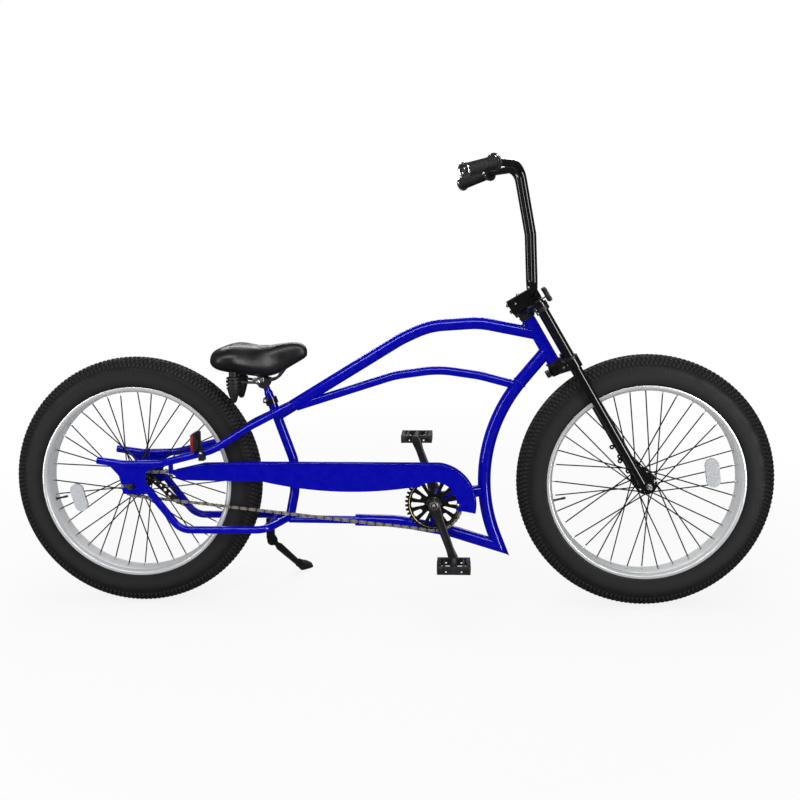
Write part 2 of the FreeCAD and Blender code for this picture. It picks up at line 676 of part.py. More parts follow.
def loop_face(offset):
    """The closed belt outline round cog and chainring, this far outside the pitch line."""
    rear, front = vec(0, 0, 0), vec(BB_X, 0, BB_Z)
    rear_r, front_r = pitch_radius(COG_TEETH) + offset, pitch_radius(RING_TEETH) + offset
    along = (front - rear).normalize()
    lift = math.acos((rear_r - front_r) / (front - rear).Length)
    square = vec(-along.z, 0, along.x)
    up = along * math.cos(lift) + square * math.sin(lift)
    low = along * math.cos(lift) - square * math.sin(lift)
    edges = [
        Part.LineSegment(rear + up * rear_r, front + up * front_r).toShape(),
        Part.Arc(front + up * front_r, front + along * front_r, front + low * front_r).toShape(),
        Part.LineSegment(front + low * front_r, rear + low * rear_r).toShape(),
        Part.Arc(rear + low * rear_r, rear - along * rear_r, rear + up * rear_r).toShape(),
    ]
    return Part.Face(Part.Wire(edges))


def chain(nodes):
    side = loop_face(PLATE_H / 2).cut(loop_face(-PLATE_H / 2))
    inner = CHAIN_GAP / 2
    layers = []
    for y in (CHAIN_Y + inner, CHAIN_Y - inner - 2 * PLATE_T):
        layer = side.extrude(vec(0, 2 * PLATE_T, 0))
        layer.translate(vec(0, y, 0))
        layers.append(layer)
    # rollers fill the space between the plates only along the two straight runs
    core = loop_face(3.0).cut(loop_face(-3.0)).extrude(vec(0, CHAIN_GAP, 0))
    core.translate(vec(0, CHAIN_Y - inner, 0))
    ring_space = across(pitch_radius(RING_TEETH) + TOOTH_OUT + 3, BB_X, BB_Z, CHAIN_Y - 9, CHAIN_Y + 9)
    cog_space = across(pitch_radius(COG_TEETH) + TOOTH_OUT + 1, 0, 0, CHAIN_Y - 9, CHAIN_Y + 9)
    core = core.cut(ring_space).cut(cog_space)
    nodes["chain"] = layers[0].multiFuse([layers[1]] + core.Solids)


def toothed_disc(teeth, x, z, y_low, y_high):
    root, tip = pitch_radius(teeth) - TOOTH_IN, pitch_radius(teeth) + TOOTH_OUT
    step = 360.0 / teeth
    outline = []
    for k in range(teeth):
        for share, radius in ((0.0, root), (0.34, root), (0.56, tip), (0.78, tip)):
            outline.append(polar(radius, step * (k + share), x, z))
    return plate(outline, y_low, y_high)


def rear_cog(nodes):
    outer_y, inner_y = CHAIN_Y - CHAIN_GAP / 2, CHAIN_Y + CHAIN_GAP / 2
    disc = toothed_disc(COG_TEETH, 0, 0, outer_y, inner_y)
    boss = across(COG_BOSS_R, 0, 0, outer_y - COG_BOSS_L, inner_y)
    nodes["rear_cog"] = disc.fuse(boss).cut(across(SPACER_R, 0, 0, -STAY_Y, 0))


def petal(inner_r, turn):
    """A slot of the chainring, wider outwards and round at its outer end."""
    inner_half, outer_half = RING_SLOT_W[0] / 2, RING_SLOT_W[1] / 2
    round_x = RING_SLOT_R[2] - outer_half
    outline = [(inner_r, -inner_half)]
    outline += [polar(outer_half, angle, round_x) for angle in range(-90, 91, 30)]
    outline.append((inner_r, inner_half))
    slot = plate(outline, CHAIN_Y - RING_T, CHAIN_Y + RING_T)
    slot.rotate(vec(0, 0, 0), Y_AXIS, -turn)
    slot.translate(vec(BB_X, 0, BB_Z))
    return slot


def chainring(nodes):
    disc = toothed_disc(RING_TEETH, BB_X, BB_Z, CHAIN_Y - RING_T / 2, CHAIN_Y + RING_T / 2)
    slots = [petal(RING_SLOT_R[k % 2], 360.0 / RING_SLOTS * k) for k in range(RING_SLOTS)]
    disc = disc.cut(Part.Compound(slots))
    boss = across(RING_BOSS_R, BB_X, BB_Z, -ARM_Y[0], CHAIN_Y + RING_T / 2)
    bore = across(SPINDLE_R, BB_X, BB_Z, -ARM_Y[0] - 1, CHAIN_Y + 9)
    nodes["chainring"] = disc.fuse(boss).cut(bore)


def crank_arm(angle, side):
    """One forged arm, tapering from the spindle's boss to the pedal's, with the pedal axle."""
    low, high = sorted((side * ARM_Y[0], side * ARM_Y[1]))
    end_x, end_z = polar(ARM_L, angle, BB_X, BB_Z)
    web = []
    for x, z, radius, turn in ((BB_X, BB_Z, ARM_BOSS_R - 3, 90), (end_x, end_z, ARM_END_R - 3, 90),
                               (end_x, end_z, ARM_END_R - 3, -90), (BB_X, BB_Z, ARM_BOSS_R - 3, -90)):
        web.append(polar(radius, angle + turn, x, z))
    arm = plate(web, low + 2, high - 2)
    bosses = [across(ARM_BOSS_R, BB_X, BB_Z, low, high), across(ARM_END_R, end_x, end_z, low, high)]
    pin_low, pin_high = sorted((side * ARM_Y[1], side * PEDAL_AXLE_END))
    pin = across(PEDAL_AXLE_R, end_x, end_z, pin_low, pin_high)
    return arm.multiFuse(bosses + [pin]).cut(across(SPINDLE_R, BB_X, BB_Z, low - 1, high + 1))


def pedal(angle, side):
    """Two tread blocks and two cage plates round a barrel that turns on the arm's axle."""
    x, z = polar(ARM_L, angle, BB_X, BB_Z)
    low, high = sorted((side * PEDAL_Y[0], side * PEDAL_Y[1]))
    length, height, block = PEDAL_L, PEDAL_H, PEDAL_BLOCK_L
    barrel = across(PEDAL_BARREL_R, x, z, low, high)
    pieces = []
    for start in (x - length / 2, x + length / 2 - block):
        pieces.append(Part.makeBox(block, high - low, height, vec(start, low, z - height / 2)))
    for start in (low, high - 10):
        pieces.append(Part.makeBox(length - 8, 10, height - 6, vec(x - length / 2 + 4, start, z - height / 2 + 3)))
    bore_low, bore_high = sorted((side * (PEDAL_Y[0] - 1), side * (PEDAL_AXLE_END + 1)))
    bore = across(PEDAL_AXLE_R + RUN_GAP, x, z, bore_low, bore_high)
    return barrel.multiFuse(pieces).cut(bore)


def cranks(nodes):
    spindle = across(SPINDLE_R, BB_X, BB_Z, -ARM_Y[1] - 3, ARM_Y[1] + 3)
    nodes["spindle"] = spindle
    nodes["crank_arm_right"] = crank_arm(ARM_ANGLE, -1)
    nodes["crank_arm_left"] = crank_arm(ARM_ANGLE + 180, 1)
    nodes["pedal_right"] = pedal(ARM_ANGLE, -1)
    nodes["pedal_left"] = pedal(ARM_ANGLE + 180, 1)


def guard_edges(shift):
    """The guard's upper edge from tail to front lobe, this far below its outside."""
    tail = [(x, z - shift) for x, z in GUARD_TAIL]
    lobe = [polar(GUARD_OUTER_R - shift, turn, BB_X, BB_Z) for turn in GUARD_LOBE_TURNS]
    return tail, lobe


def chain_guard(nodes):
    outer_y, inner_y = GUARD_Y - GUARD_T / 2, GUARD_Y + GUARD_T / 2
    tail, lobe = guard_edges(0)
    window = [polar(GUARD_WINDOW_R, turn, BB_X, BB_Z) for turn in GUARD_WINDOW_TURNS]
    belly = [(BB_X - behind, BB_Z + above) for behind, above in GUARD_BELLY] + GUARD_LOW_TAIL[:1]

    def at(point):
        return vec(point[0], outer_y, point[1])

    lines = tail + [lobe[0]]
    edges = [Part.LineSegment(at(a), at(b)).toShape() for a, b in zip(lines, lines[1:])]
    edges.append(Part.Arc(*[at(p) for p in lobe]).toShape())
    edges.append(Part.LineSegment(at(lobe[2]), at(window[0])).toShape())
    edges.append(Part.Arc(*[at(p) for p in window]).toShape())
    edges.append(Part.LineSegment(at(window[2]), at(belly[0])).toShape())
    edges.append(Part.Arc(*[at(p) for p in belly]).toShape())
    low_edge = GUARD_LOW_TAIL + [tail[0]]
    edges += [Part.LineSegment(at(a), at(b)).toShape() for a, b in zip(low_edge, low_edge[1:])]
    face = Part.Face(Part.Wire(edges)).extrude(vec(0, GUARD_T, 0))

    low_tail, low_lobe = guard_edges(GUARD_T)
    strip = [Part.LineSegment(at(a), at(b)).toShape() for a, b in zip(lines[1:], lines[2:])]
    strip.append(Part.Arc(*[at(p) for p in lobe]).toShape())
    strip.append(Part.LineSegment(at(lobe[2]), at(low_lobe[2])).toShape())
    strip.append(Part.Arc(*[at(p) for p in reversed(low_lobe)]).toShape())
    low_lines = [low_lobe[0], low_tail[3], low_tail[2], low_tail[1], tail[1]]
    strip += [Part.LineSegment(at(a), at(b)).toShape() for a, b in zip(low_lines, low_lines[1:])]
    lip = Part.Face(Part.Wire(strip)).extrude(vec(0, GUARD_LIP, 0))

    rear_tab = block(GUARD_TAB_SIZE, *GUARD_TAB_AT)
    ahead, above, post_r = GUARD_POST
    front_post = across(post_r, BB_X + ahead, BB_Z + above, inner_y, -BB_STUB_R / 2)
    guard = face.multiFuse([lip, rear_tab, front_post])
    guard = guard.cut(nodes["upper_stays"]).cut(nodes["bottom_bracket"])
    nodes["chain_guard"] = max(guard.Solids, key=lambda solid: solid.Volume)


def brake_arm(nodes):
    """The coaster brake's arm, from the rear axle to a strap on the left lower stay."""
    y_low, y_high = BRAKE_ARM_Y
    end_x, end_z = BRAKE_ARM_END
    axle_r, root_r, end_r = BRAKE_ARM_R
    turn = math.degrees(math.atan2(end_z, end_x))
    web = [polar(root_r, turn + 90), polar(end_r, turn + 90, end_x, end_z),
           polar(end_r, turn - 90, end_x, end_z), polar(root_r, turn - 90)]
    arm = plate(web, y_low, y_high).multiFuse([
        across(axle_r, 0, 0, y_low, y_high), across(end_r, end_x, end_z, y_low, y_high)])
    holes = [across(SPACER_R, 0, 0, 0, STAY_Y)]
    count, first, step, hole_r = BRAKE_HOLES
    for k in range(count):
        hole_x, hole_z = polar(first + step * k, turn)
        holes.append(across(hole_r, hole_x, hole_z, 0, STAY_Y))
    arm = arm.cut(Part.Compound(holes))
    ahead, above, strap_r = BRAKE_STRAP
    strap = across(strap_r, end_x + ahead, end_z + above, y_high, STAY_Y)
    strap = strap.cut(nodes["lower_stays"])
    strap = max(strap.Solids, key=lambda solid: solid.Volume)
    nodes["brake_arm"] = arm.fuse(strap)


# Saddle
def seat(nodes):
    seat_top = in_plane(SEAT_TUBE_ROUTE)[0]
    seat_dir = (in_plane(SEAT_TUBE_ROUTE)[1] - seat_top).normalize()
    post_low = seat_top + seat_dir * POST_SEAT_L
    neck = seat_top - seat_dir * NECK_LOW
    cone_l = 8.0
    post = cylinder(POST_R, post_low, neck)
    cone = Part.makeCone(POST_R, POST_NECK_R, cone_l, neck, seat_dir * -1)
    tip = cylinder(POST_NECK_R, neck - seat_dir * cone_l, seat_top - seat_dir * NECK_HIGH)
    nodes["seat_post"] = post.multiFuse([cone, tip])
    collar_low = seat_top + seat_dir * COLLAR_H
    collar = cylinder(COLLAR_R, collar_low, seat_top - seat_dir * 2)
    collar = collar.cut(cylinder(SEAT_TUBE_R, collar_low + seat_dir, seat_top))
    nodes["seat_collar"] = collar.cut(cylinder(POST_R, seat_top + seat_dir, seat_top - seat_dir * 5))

    clamp_at = seat_top - seat_dir * CLAMP_UP
    clamp = across(CLAMP_R, clamp_at.x, clamp_at.z, -CLAMP_HALF_W, CLAMP_HALF_W)
    clamp = clamp.cut(nodes["seat_post"])

    rings = []
    for x, half_w, top, bottom in smoothed(SADDLE_SECTIONS):
        middle, half_h = (top + bottom) / 2, (top - bottom) / 2
        points = []
        for k in range(SADDLE_SIDES):
            turn = math.radians(360.0 / SADDLE_SIDES * k)
            y = half_w * math.copysign(abs(math.cos(turn)) ** 0.8, math.cos(turn))
            z = middle + half_h * math.copysign(abs(math.sin(turn)) ** 0.8, math.sin(turn))
            points.append(vec(x, y, z))
        rings.append(points)
    nodes["saddle"] = faceted(rings, True)

    profile = [vec(SPRING_X + r, SPRING_Y, z) for r, z in SPRING_PROFILE]
    bumper = Part.Face(Part.makePolygon(profile + profile[:1]))
    bumper = bumper.revolve(vec(SPRING_X, SPRING_Y, 0), Z_AXIS, 360)
    bumpers = [piece.cut(nodes["saddle"]) for piece in (bumper, mirrored(bumper))]
    nodes["saddle_springs"] = Part.Compound([max(piece.Solids, key=lambda s: s.Volume) for piece in bumpers])

    rail_points = [vec(SPRING_X + ahead, SPRING_Y + outside, WIRE_Z) for ahead, outside in WIRE_REAR]
    rail_points += [clamp_at + vec(*offset) for offset in WIRE_FRONT]
    rail = bent_tube(rail_points, RAIL_WIRE_R, 30.0)
    rail = rail.cut(bumper)
    saddle_frame = clamp.multiFuse([rail, mirrored(rail)]).cut(nodes["seat_post"]).cut(nodes["saddle"])
    nodes["saddle_frame"] = max(saddle_frame.Solids, key=lambda solid: solid.Volume)


# Side stand
def unlean(shape):
    """A shape drawn on the level floor, turned into the upright bicycle's frame."""
    turned = shape.copy()
    turned.rotate(vec(0, 0, 0), X_AXIS, LEAN)
    return turned


def floor_drop():
    """How far the floor lies below the rear axle, square to the floor."""
    lean = math.radians(LEAN)
    return max(r * math.cos(lean) + y * math.sin(lean) for y, r in tyre_outline())


def floor_z(y):
    """The floor's height under a point of the upright bicycle."""
    lean = math.radians(LEAN)
    return (y * math.sin(lean) - floor_drop()) / math.cos(lean)


def stand(nodes):
    pivot = vec(*STAND_PIVOT)
    axis = vec(*STAND_AXIS).normalize()
    half = STAND_EYE_T / 2
    head_r, head_t = STAND_PIN_HEAD
    disc_start = pivot - axis * (half + STAND_GAP + STAND_PLATE_T)
    disc = Part.makeCylinder(STAND_EYE_R + 2, STAND_PLATE_T, disc_start, axis)
    pin = Part.makeCylinder(STAND_PIN_R, STAND_PLATE_T + STAND_EYE_T + head_t, disc_start, axis)
    head = Part.makeCylinder(head_r, head_t, pivot + axis * (half + STAND_GAP), axis)
    web = block(STAND_WEB_SIZE, pivot.x, *STAND_WEB_MIDDLE)
    web = web.cut(Part.makeCylinder(STAND_EYE_R + 5, 60, pivot - axis * (half + STAND_GAP), axis))
    bracket = web.multiFuse([disc, pin, head]).cut(nodes["stand_bridge"]).cut(nodes["lower_stays"])
    nodes["stand_bracket"] = max(bracket.Solids, key=lambda solid: solid.Volume)

    foot = vec(STAND_FOOT[0], STAND_FOOT[1], floor_z(STAND_FOOT[1]))
    outward = foot - pivot
    elbow = pivot + (outward - axis * outward.dot(axis)).normalize() * STAND_ELBOW_L
    reach = (foot - elbow).normalize()
    joint = foot - reach * FOOT_L
    eye = Part.makeCylinder(STAND_EYE_R, STAND_EYE_T, pivot - axis * half, axis)
    leg = bent_tube([pivot + (elbow - pivot).normalize() * 6, elbow, joint], STAND_LEG_R, 26.0)
    swell, full = elbow + reach * STAND_SHANK[0], elbow + reach * STAND_SHANK[1]
    shanks = [
        Part.makeCone(STAND_LEG_R, STAND_SHANK_R[0], (full - swell).Length, swell, reach),
        Part.makeCone(STAND_SHANK_R[0], STAND_SHANK_R[1], (joint - full).Length, full, reach),
    ]
    pin_hole = Part.makeCylinder(STAND_PIN_R + RUN_GAP, 60, pivot - axis * 30, axis)
    nodes["stand_leg"] = eye.multiFuse([leg] + shanks).cut(pin_hole)

    below_floor = 30
    shoe = Part.makeCone(FOOT_R[0], FOOT_R[1], FOOT_L + below_floor, joint, reach)
    below = unlean(Part.makeBox(4000, 4000, 400, vec(-1000, -2000, -floor_drop() - 400)))
    nodes["stand_foot"] = shoe.cut(below)


# Fork and steering
def crown(s, thickness):
    head = cylinder(CROWN_HEAD_R, steer(0, 0, s), steer(0, 0, s + thickness))
    pieces = []
    for side in (-1, 1):
        pieces.append(cylinder(CROWN_LEG_R, steer(LEG_OFFSET, side * LEG_Y, s),
                               steer(LEG_OFFSET, side * LEG_Y, s + thickness)))
        along = vec(LEG_OFFSET, side * LEG_Y, 0).normalize()
        off_u, off_y = -along.y * CROWN_ARM_W / 2, along.x * CROWN_ARM_W / 2
        arm = [(off_u, off_y), (LEG_OFFSET + off_u, side * LEG_Y + off_y),
               (LEG_OFFSET - off_u, side * LEG_Y - off_y), (-off_u, -off_y)]
        pieces.append(steer_block(arm, s, s + thickness))
    return head.multiFuse(pieces)


def fork_leg(side, leg):
    """A leg with its slotted dropout and the two eyelets behind it."""
    slot = AXLE_R + RUN_GAP
    low, high = side * LEG_Y - FORK_DROPOUT_T / 2, side * LEG_Y + FORK_DROPOUT_T / 2
    tip = side_plate(FORK_TIP, low, high).cut(leg)
    opening = [(FORK_OFFSET + u, s) for u, s in ((-slot, 0), (slot, 0), (slot, -30), (-slot, -30))]
    tip = tip.cut(side_plate(opening, low - 1, high + 1)).cut(across(slot, WHEELBASE, 0, low - 1, high + 1))
    tip = max(tip.Solids, key=lambda solid: solid.Volume)
    hole_r, ring_r = EYELET_R
    rings = []
    for s in EYELET_S:
        at = steer(EYELET_U, 0, s)
        ring = across(ring_r, at.x, at.z, side * LEG_Y - EYELET_T / 2, side * LEG_Y + EYELET_T / 2)
        rings.append(ring.cut(across(hole_r, at.x, at.z, low, high)))
    return leg.multiFuse([tip] + rings)


def fork(nodes):
    legs = []
    for side in (-1, 1):
        legs.append(cylinder(LEG_R, steer(LEG_OFFSET, side * LEG_Y, LEG_FOOT_S),
                             steer(LEG_OFFSET, side * LEG_Y, UPPER_CROWN_S + UPPER_CROWN_T + 6)))
    steerer = cylinder(STEERER_R, steer(0, 0, LOWER_CROWN_S), steer(0, 0, STEM_S + STEM_T))
    lower = crown(LOWER_CROWN_S, LOWER_CROWN_T)
    upper = crown(UPPER_CROWN_S, UPPER_CROWN_T)
    for leg in legs:
        lower, upper = lower.cut(leg), upper.cut(leg)
    nodes["lower_crown"] = lower.fuse(steerer)
    nodes["upper_crown"] = upper.cut(steerer)

    nodes["fork_legs"] = Part.Compound([fork_leg(side, leg) for side, leg in zip((-1, 1), legs)])
    nodes["front_axle"] = axle(
        WHEELBASE, 0, "front", LEG_Y - FORK_DROPOUT_T / 2, LEG_Y + FORK_DROPOUT_T / 2)

    clamp_u, clamp_s = BAR_CLAMP
    bar_points = [steer(clamp_u, 0, STEM_S + clamp_s) + vec(*p) for p in BAR_SWEEP]
    full = [vec(p.x, -p.y, p.z) for p in reversed(bar_points)] + bar_points
    bar = bent_tube(full, BAR_R, BAR_BEND_R)
    half_w = STEM_W / 2
    rear_u, front_u = STEM_U[0], clamp_u + STEM_U[1]
    stem = steer_block([(rear_u, -half_w), (front_u, -half_w), (front_u, half_w), (rear_u, half_w)],
                       STEM_S, STEM_S + STEM_T)
    nodes["stem"] = stem.cut(steerer).cut(bar)

    end, before = bar_points[-1], bar_points[-2]
    out = (end - before).normalize()
    grips, rings = [], []
    ring_start = before + out * 4
    for flip in (False, True):
        ring = cylinder(GRIP_RING_R, ring_start, ring_start + out * GRIP_RING_T).cut(bar)
        sleeve = cylinder(GRIP_R, ring_start + out * GRIP_RING_T, end).cut(bar)
        cap = cylinder(GRIP_CAP_R, end, end + out * GRIP_CAP_T)
        if flip:
            ring, sleeve, cap = mirrored(ring), mirrored(sleeve), mirrored(cap)
        grips.append(sleeve)
        rings += [ring, cap]
    nodes["handlebar"] = bar
    nodes["grips"] = Part.Compound(grips)
    nodes["grip_rings"] = Part.Compound(rings)


def reflectors(nodes):
    crown_top = UPPER_CROWN_S + UPPER_CROWN_T
    rear_u, front_u, half_w, thick = LENS_ARM
    bracket = steer_block([(rear_u, -half_w), (front_u, -half_w), (front_u, half_w), (rear_u, half_w)],
                          crown_top, crown_top + thick)
    lens_t, lens_w, lens_h = LENS_SIZE
    lens_u, lens_s = LENS_AT[0], UPPER_CROWN_S + LENS_AT[1]
    corners = ((-1, -1), (1, -1), (1, 1), (-1, 1))
    lens = steer_block([(lens_u + u * lens_t / 2, y * lens_w / 2) for u, y in corners],
                       lens_s - lens_h / 2, lens_s + lens_h / 2)
    nodes["front_reflector"] = lens
    nodes["front_reflector_bracket"] = bracket.cut(lens).cut(nodes["upper_crown"])

    clip = block(REAR_CLIP_SIZE, REAR_CLIP_AT[0], -STAY_Y, REAR_CLIP_AT[1])
    arm = block(REAR_ARM_SIZE, REAR_ARM_AT[0], -STAY_Y, REAR_ARM_AT[1])
    clip = clip.fuse(arm).cut(nodes["upper_stays"])
    nodes["rear_reflector_bracket"] = max(clip.Solids, key=lambda solid: solid.Volume)
    nodes["rear_reflector"] = block(REAR_LENS_SIZE, REAR_LENS_AT[0], -STAY_Y, REAR_LENS_AT[1])


def bicycle():
    nodes = {}
    head_tube(nodes)
    seat_outside = main_frame(nodes)
    stays(nodes, seat_outside)
    wheel(0.0, "rear", nodes)
    wheel(WHEELBASE, "front", nodes)
    nodes["rear_axle"] = axle(0, 0, "rear", STAY_Y - DROPOUT_T / 2, STAY_Y + DROPOUT_T / 2)
    chain(nodes)
    rear_cog(nodes)
    chainring(nodes)
    cranks(nodes)
    chain_guard(nodes)
    brake_arm(nodes)
    seat(nodes)
    stand(nodes)
    fork(nodes)
    reflectors(nodes)
    return nodes


def parked(nodes):
    """Lean the bicycle onto its stand, and put the origin on the floor under the box's middle."""
    leaned = {}
    box = FreeCAD.BoundBox()
    for name, shape in nodes.items():
        turned = shape.copy()
        turned.rotate(vec(0, 0, 0), X_AXIS, -LEAN)
        leaned[name] = turned
        box.add(turned.optimalBoundingBox(False, False))
    shift = vec(-(box.XMin + box.XMax) / 2, -(box.YMin + box.YMax) / 2, -box.ZMin)
    for shape in leaned.values():
        shape.translate(shift)
    return leaned, shift


os.makedirs("parts", exist_ok=True)
parked_nodes, parked_shift = parked(bicycle())
for node_name, node_shape in parked_nodes.items():
    node_shape.exportStep(os.path.join("parts", node_name + ".step"))
print("shift", parked_shift)
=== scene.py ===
"""The looks of a chopper bicycle on its side stand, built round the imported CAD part.

Most pieces are drawn in millimetres in a local frame of the part: the upright bicycle, with X
forward, Y to the rider's left and Z up from the rear axle, or the steering, crank and stand
frames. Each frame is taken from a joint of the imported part.
"""

import json
import math

import bpy
import numpy as np
from bpy.props import FloatProperty, FloatVectorProperty, IntProperty, PointerProperty
from mathutils import Euler, Matrix, Vector


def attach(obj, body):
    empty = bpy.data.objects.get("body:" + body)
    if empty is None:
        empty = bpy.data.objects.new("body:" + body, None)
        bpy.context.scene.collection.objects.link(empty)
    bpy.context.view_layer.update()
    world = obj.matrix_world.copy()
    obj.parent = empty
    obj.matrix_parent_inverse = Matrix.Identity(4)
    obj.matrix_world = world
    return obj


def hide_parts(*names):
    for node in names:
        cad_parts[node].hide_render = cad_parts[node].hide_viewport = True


bl_info = {
    "name": "Chopper bicycle looks",
    "version": (1, 0, 0),
    "blender": (4, 5, 0),
    "location": "View3D > Sidebar > Chopper",
    "description": "Builds tyres, wheels, drive, saddle, cockpit and finishes round the packed bicycle",
    "category": "Object",
}

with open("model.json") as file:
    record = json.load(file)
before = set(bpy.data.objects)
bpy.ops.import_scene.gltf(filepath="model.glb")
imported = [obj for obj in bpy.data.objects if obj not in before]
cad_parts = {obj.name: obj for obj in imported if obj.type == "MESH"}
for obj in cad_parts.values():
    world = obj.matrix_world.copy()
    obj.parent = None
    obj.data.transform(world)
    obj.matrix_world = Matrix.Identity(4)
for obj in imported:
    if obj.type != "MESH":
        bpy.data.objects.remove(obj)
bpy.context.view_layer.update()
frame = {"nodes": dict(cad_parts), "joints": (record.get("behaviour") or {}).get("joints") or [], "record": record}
JOINTS = {joint["name"]: joint for joint in frame["joints"]}
MM = 0.001
FULL_TURN = 2 * math.pi


def unit(vector):
    vector = np.asarray(vector, float)
    return vector / np.linalg.norm(vector, axis=-1, keepdims=True)


class Local:
    """A frame in millimetres: its origin in the row frame, in metres, and its three axes as rows."""

    def __init__(self, origin, x_axis, y_axis):
        x_axis, y_axis = unit(x_axis), unit(y_axis)
        self.origin = np.array(origin, float)
        self.axes = np.array([x_axis, y_axis, np.cross(x_axis, y_axis)])

    def place(self, points):
        return self.origin + np.asarray(points, float) @ self.axes * MM

    def read(self, point):
        """The local place, in millimetres, of a point given in the row frame."""
        return (np.asarray(point, float) - self.origin) @ self.axes.T / MM


REAR_AXLE = np.array(JOINTS["rear_wheel_spin"]["pos_m"])
FRONT_AXLE = np.array(JOINTS["front_wheel_spin"]["pos_m"])
LEFT = np.array(JOINTS["rear_wheel_spin"]["axis"]) * np.sign(JOINTS["rear_wheel_spin"]["axis"][1])
FORWARD = np.array([1.0, 0.0, 0.0])
STEER_UP = unit(JOINTS["steering"]["axis"]) * np.sign(JOINTS["steering"]["axis"][2])
STEER_AT = np.array(JOINTS["steering"]["pos_m"])
STEER_FOOT = STEER_AT + STEER_UP * float((FRONT_AXLE - STEER_AT) @ STEER_UP)

UPRIGHT = Local(REAR_AXLE, FORWARD, LEFT)
FRONT_WHEEL = Local(FRONT_AXLE, FORWARD, LEFT)
STEERING = Local(STEER_FOOT, np.cross(LEFT, STEER_UP), LEFT)
CRANK = Local(JOINTS["crank_spin"]["pos_m"], FORWARD, LEFT)
BB_X, BB_Z = (float(v) for v in UPRIGHT.read(CRANK.origin)[[0, 2]])

TO_RIGHT, TO_LEFT, UPWARD = (0.0, -1.0, 0.0), (0.0, 1.0, 0.0), (0.0, 0.0, 1.0)
FLOOR_GAP = 0.0002                # metres above the floor that every point keeps


# Surfaces
def turns(count):
    """Angles of one full turn, the last one short of the first."""
    return np.arange(count) * FULL_TURN / count


def smooth_line(points, per_span):
    """Catmull-Rom: each span is a cubic whose slopes are half the step between its two neighbours."""
    points = np.asarray(points, float)
    held = np.concatenate([2 * points[:1] - points[1:2], points, 2 * points[-1:] - points[-2:-1]])
    before, here, after, beyond = held[:-3, None], held[1:-2, None], held[2:-1, None], held[3:, None]
    t = (np.arange(per_span) / per_span)[None, :, None]
    line = 0.5 * (2 * here + (after - before) * t + (2 * before - 5 * here + 4 * after - beyond) * t ** 2
                  + (3 * here - before - 3 * after + beyond) * t ** 3)
    return np.concatenate([line.reshape(-1, points.shape[1]), points[-1:]])


def path_frames(path, closed, up):
    """Two unit vectors square to the path at each of its points, the first kept near square to up."""
    if closed:
        along = np.roll(path, -1, axis=0) - np.roll(path, 1, axis=0)
    else:
        along = np.gradient(path, axis=0)
    along = unit(along)
    side = np.cross(along, np.asarray(up, float))
    side = unit(side + 1e-9)
    return side, np.cross(side, along)


def tube_rings(path, radius, sides, closed, up):
    """A circle of the given radius carried along the path, square to it."""
    path = np.asarray(path, float)
    side, other = path_frames(path, closed, up)
    angle = turns(sides)
    radius = np.broadcast_to(np.asarray(radius, float), (len(path),))[:, None, None]
    around = side[:, None] * np.cos(angle)[None, :, None] + other[:, None] * np.sin(angle)[None, :, None]
    return path[:, None] + around * radius


def lathe_rings(profile, start, axis, sides=48):
    """Each (height, radius) of the profile turned round the axis from its start point."""
    profile = np.asarray(profile, float)
    axis = unit(axis)
    helper = np.array([0.0, 1.0, 0.0]) if abs(axis[1]) < 0.9 else np.array([1.0, 0.0, 0.0])
    side = unit(np.cross(helper, axis))
    other = np.cross(axis, side)
    angle = turns(sides)
    around = side * np.cos(angle)[:, None] + other * np.sin(angle)[:, None]
    spine = np.asarray(start, float) + axis * profile[:, :1]
    return spine[:, None] + around[None] * profile[:, 1][:, None, None]


def rounded_block(size, centre, corner, steps):
    """A ball's grid pushed out to a block's corners: each point is its corner plus the ball's normal."""
    half = np.asarray(size, float) / 2 - corner
    quarter = (np.arange(steps) + 0.5) / steps * math.pi / 2
    around = np.concatenate([quarter + math.pi / 2 * k for k in range(4)])
    rise = np.concatenate([quarter - math.pi / 2, quarter])[:, None]
    normal = np.stack(np.broadcast_arrays(np.cos(rise) * np.cos(around), np.cos(rise) * np.sin(around),
                                          np.sin(rise)), axis=-1)
    return np.asarray(centre, float) + (np.sign(normal) * half + normal * corner)


def arc(radius, start_deg, stop_deg, count, x=0.0, z=0.0):
    """Points of a circle round (x, z), from one angle to the other."""
    angle = np.radians(np.linspace(start_deg, stop_deg, count))
    return np.stack([x + radius * np.cos(angle), z + radius * np.sin(angle)], axis=1)


def round_axle(radius, angle, y):
    """Points round an axle that lies along Y: (radius times cosine, y, radius times sine)."""
    return np.stack(np.broadcast_arrays(radius * np.cos(angle), y, radius * np.sin(angle)), axis=-1)


def box_section(angle, u_power, v_power):
    """A rounded box's section: the size of the angle's cosine and of its sine, each to a power below
    one, with their signs."""
    c, s = np.cos(angle), np.sin(angle)
    return np.sign(c) * abs(c) ** u_power, np.sign(s) * abs(s) ** v_power


def soft_step(low, high, value):
    """0 below low, 1 above high, and a smooth cubic between."""
    t = np.clip((value - low) / (high - low), 0, 1)
    return t * t * (3 - 2 * t)


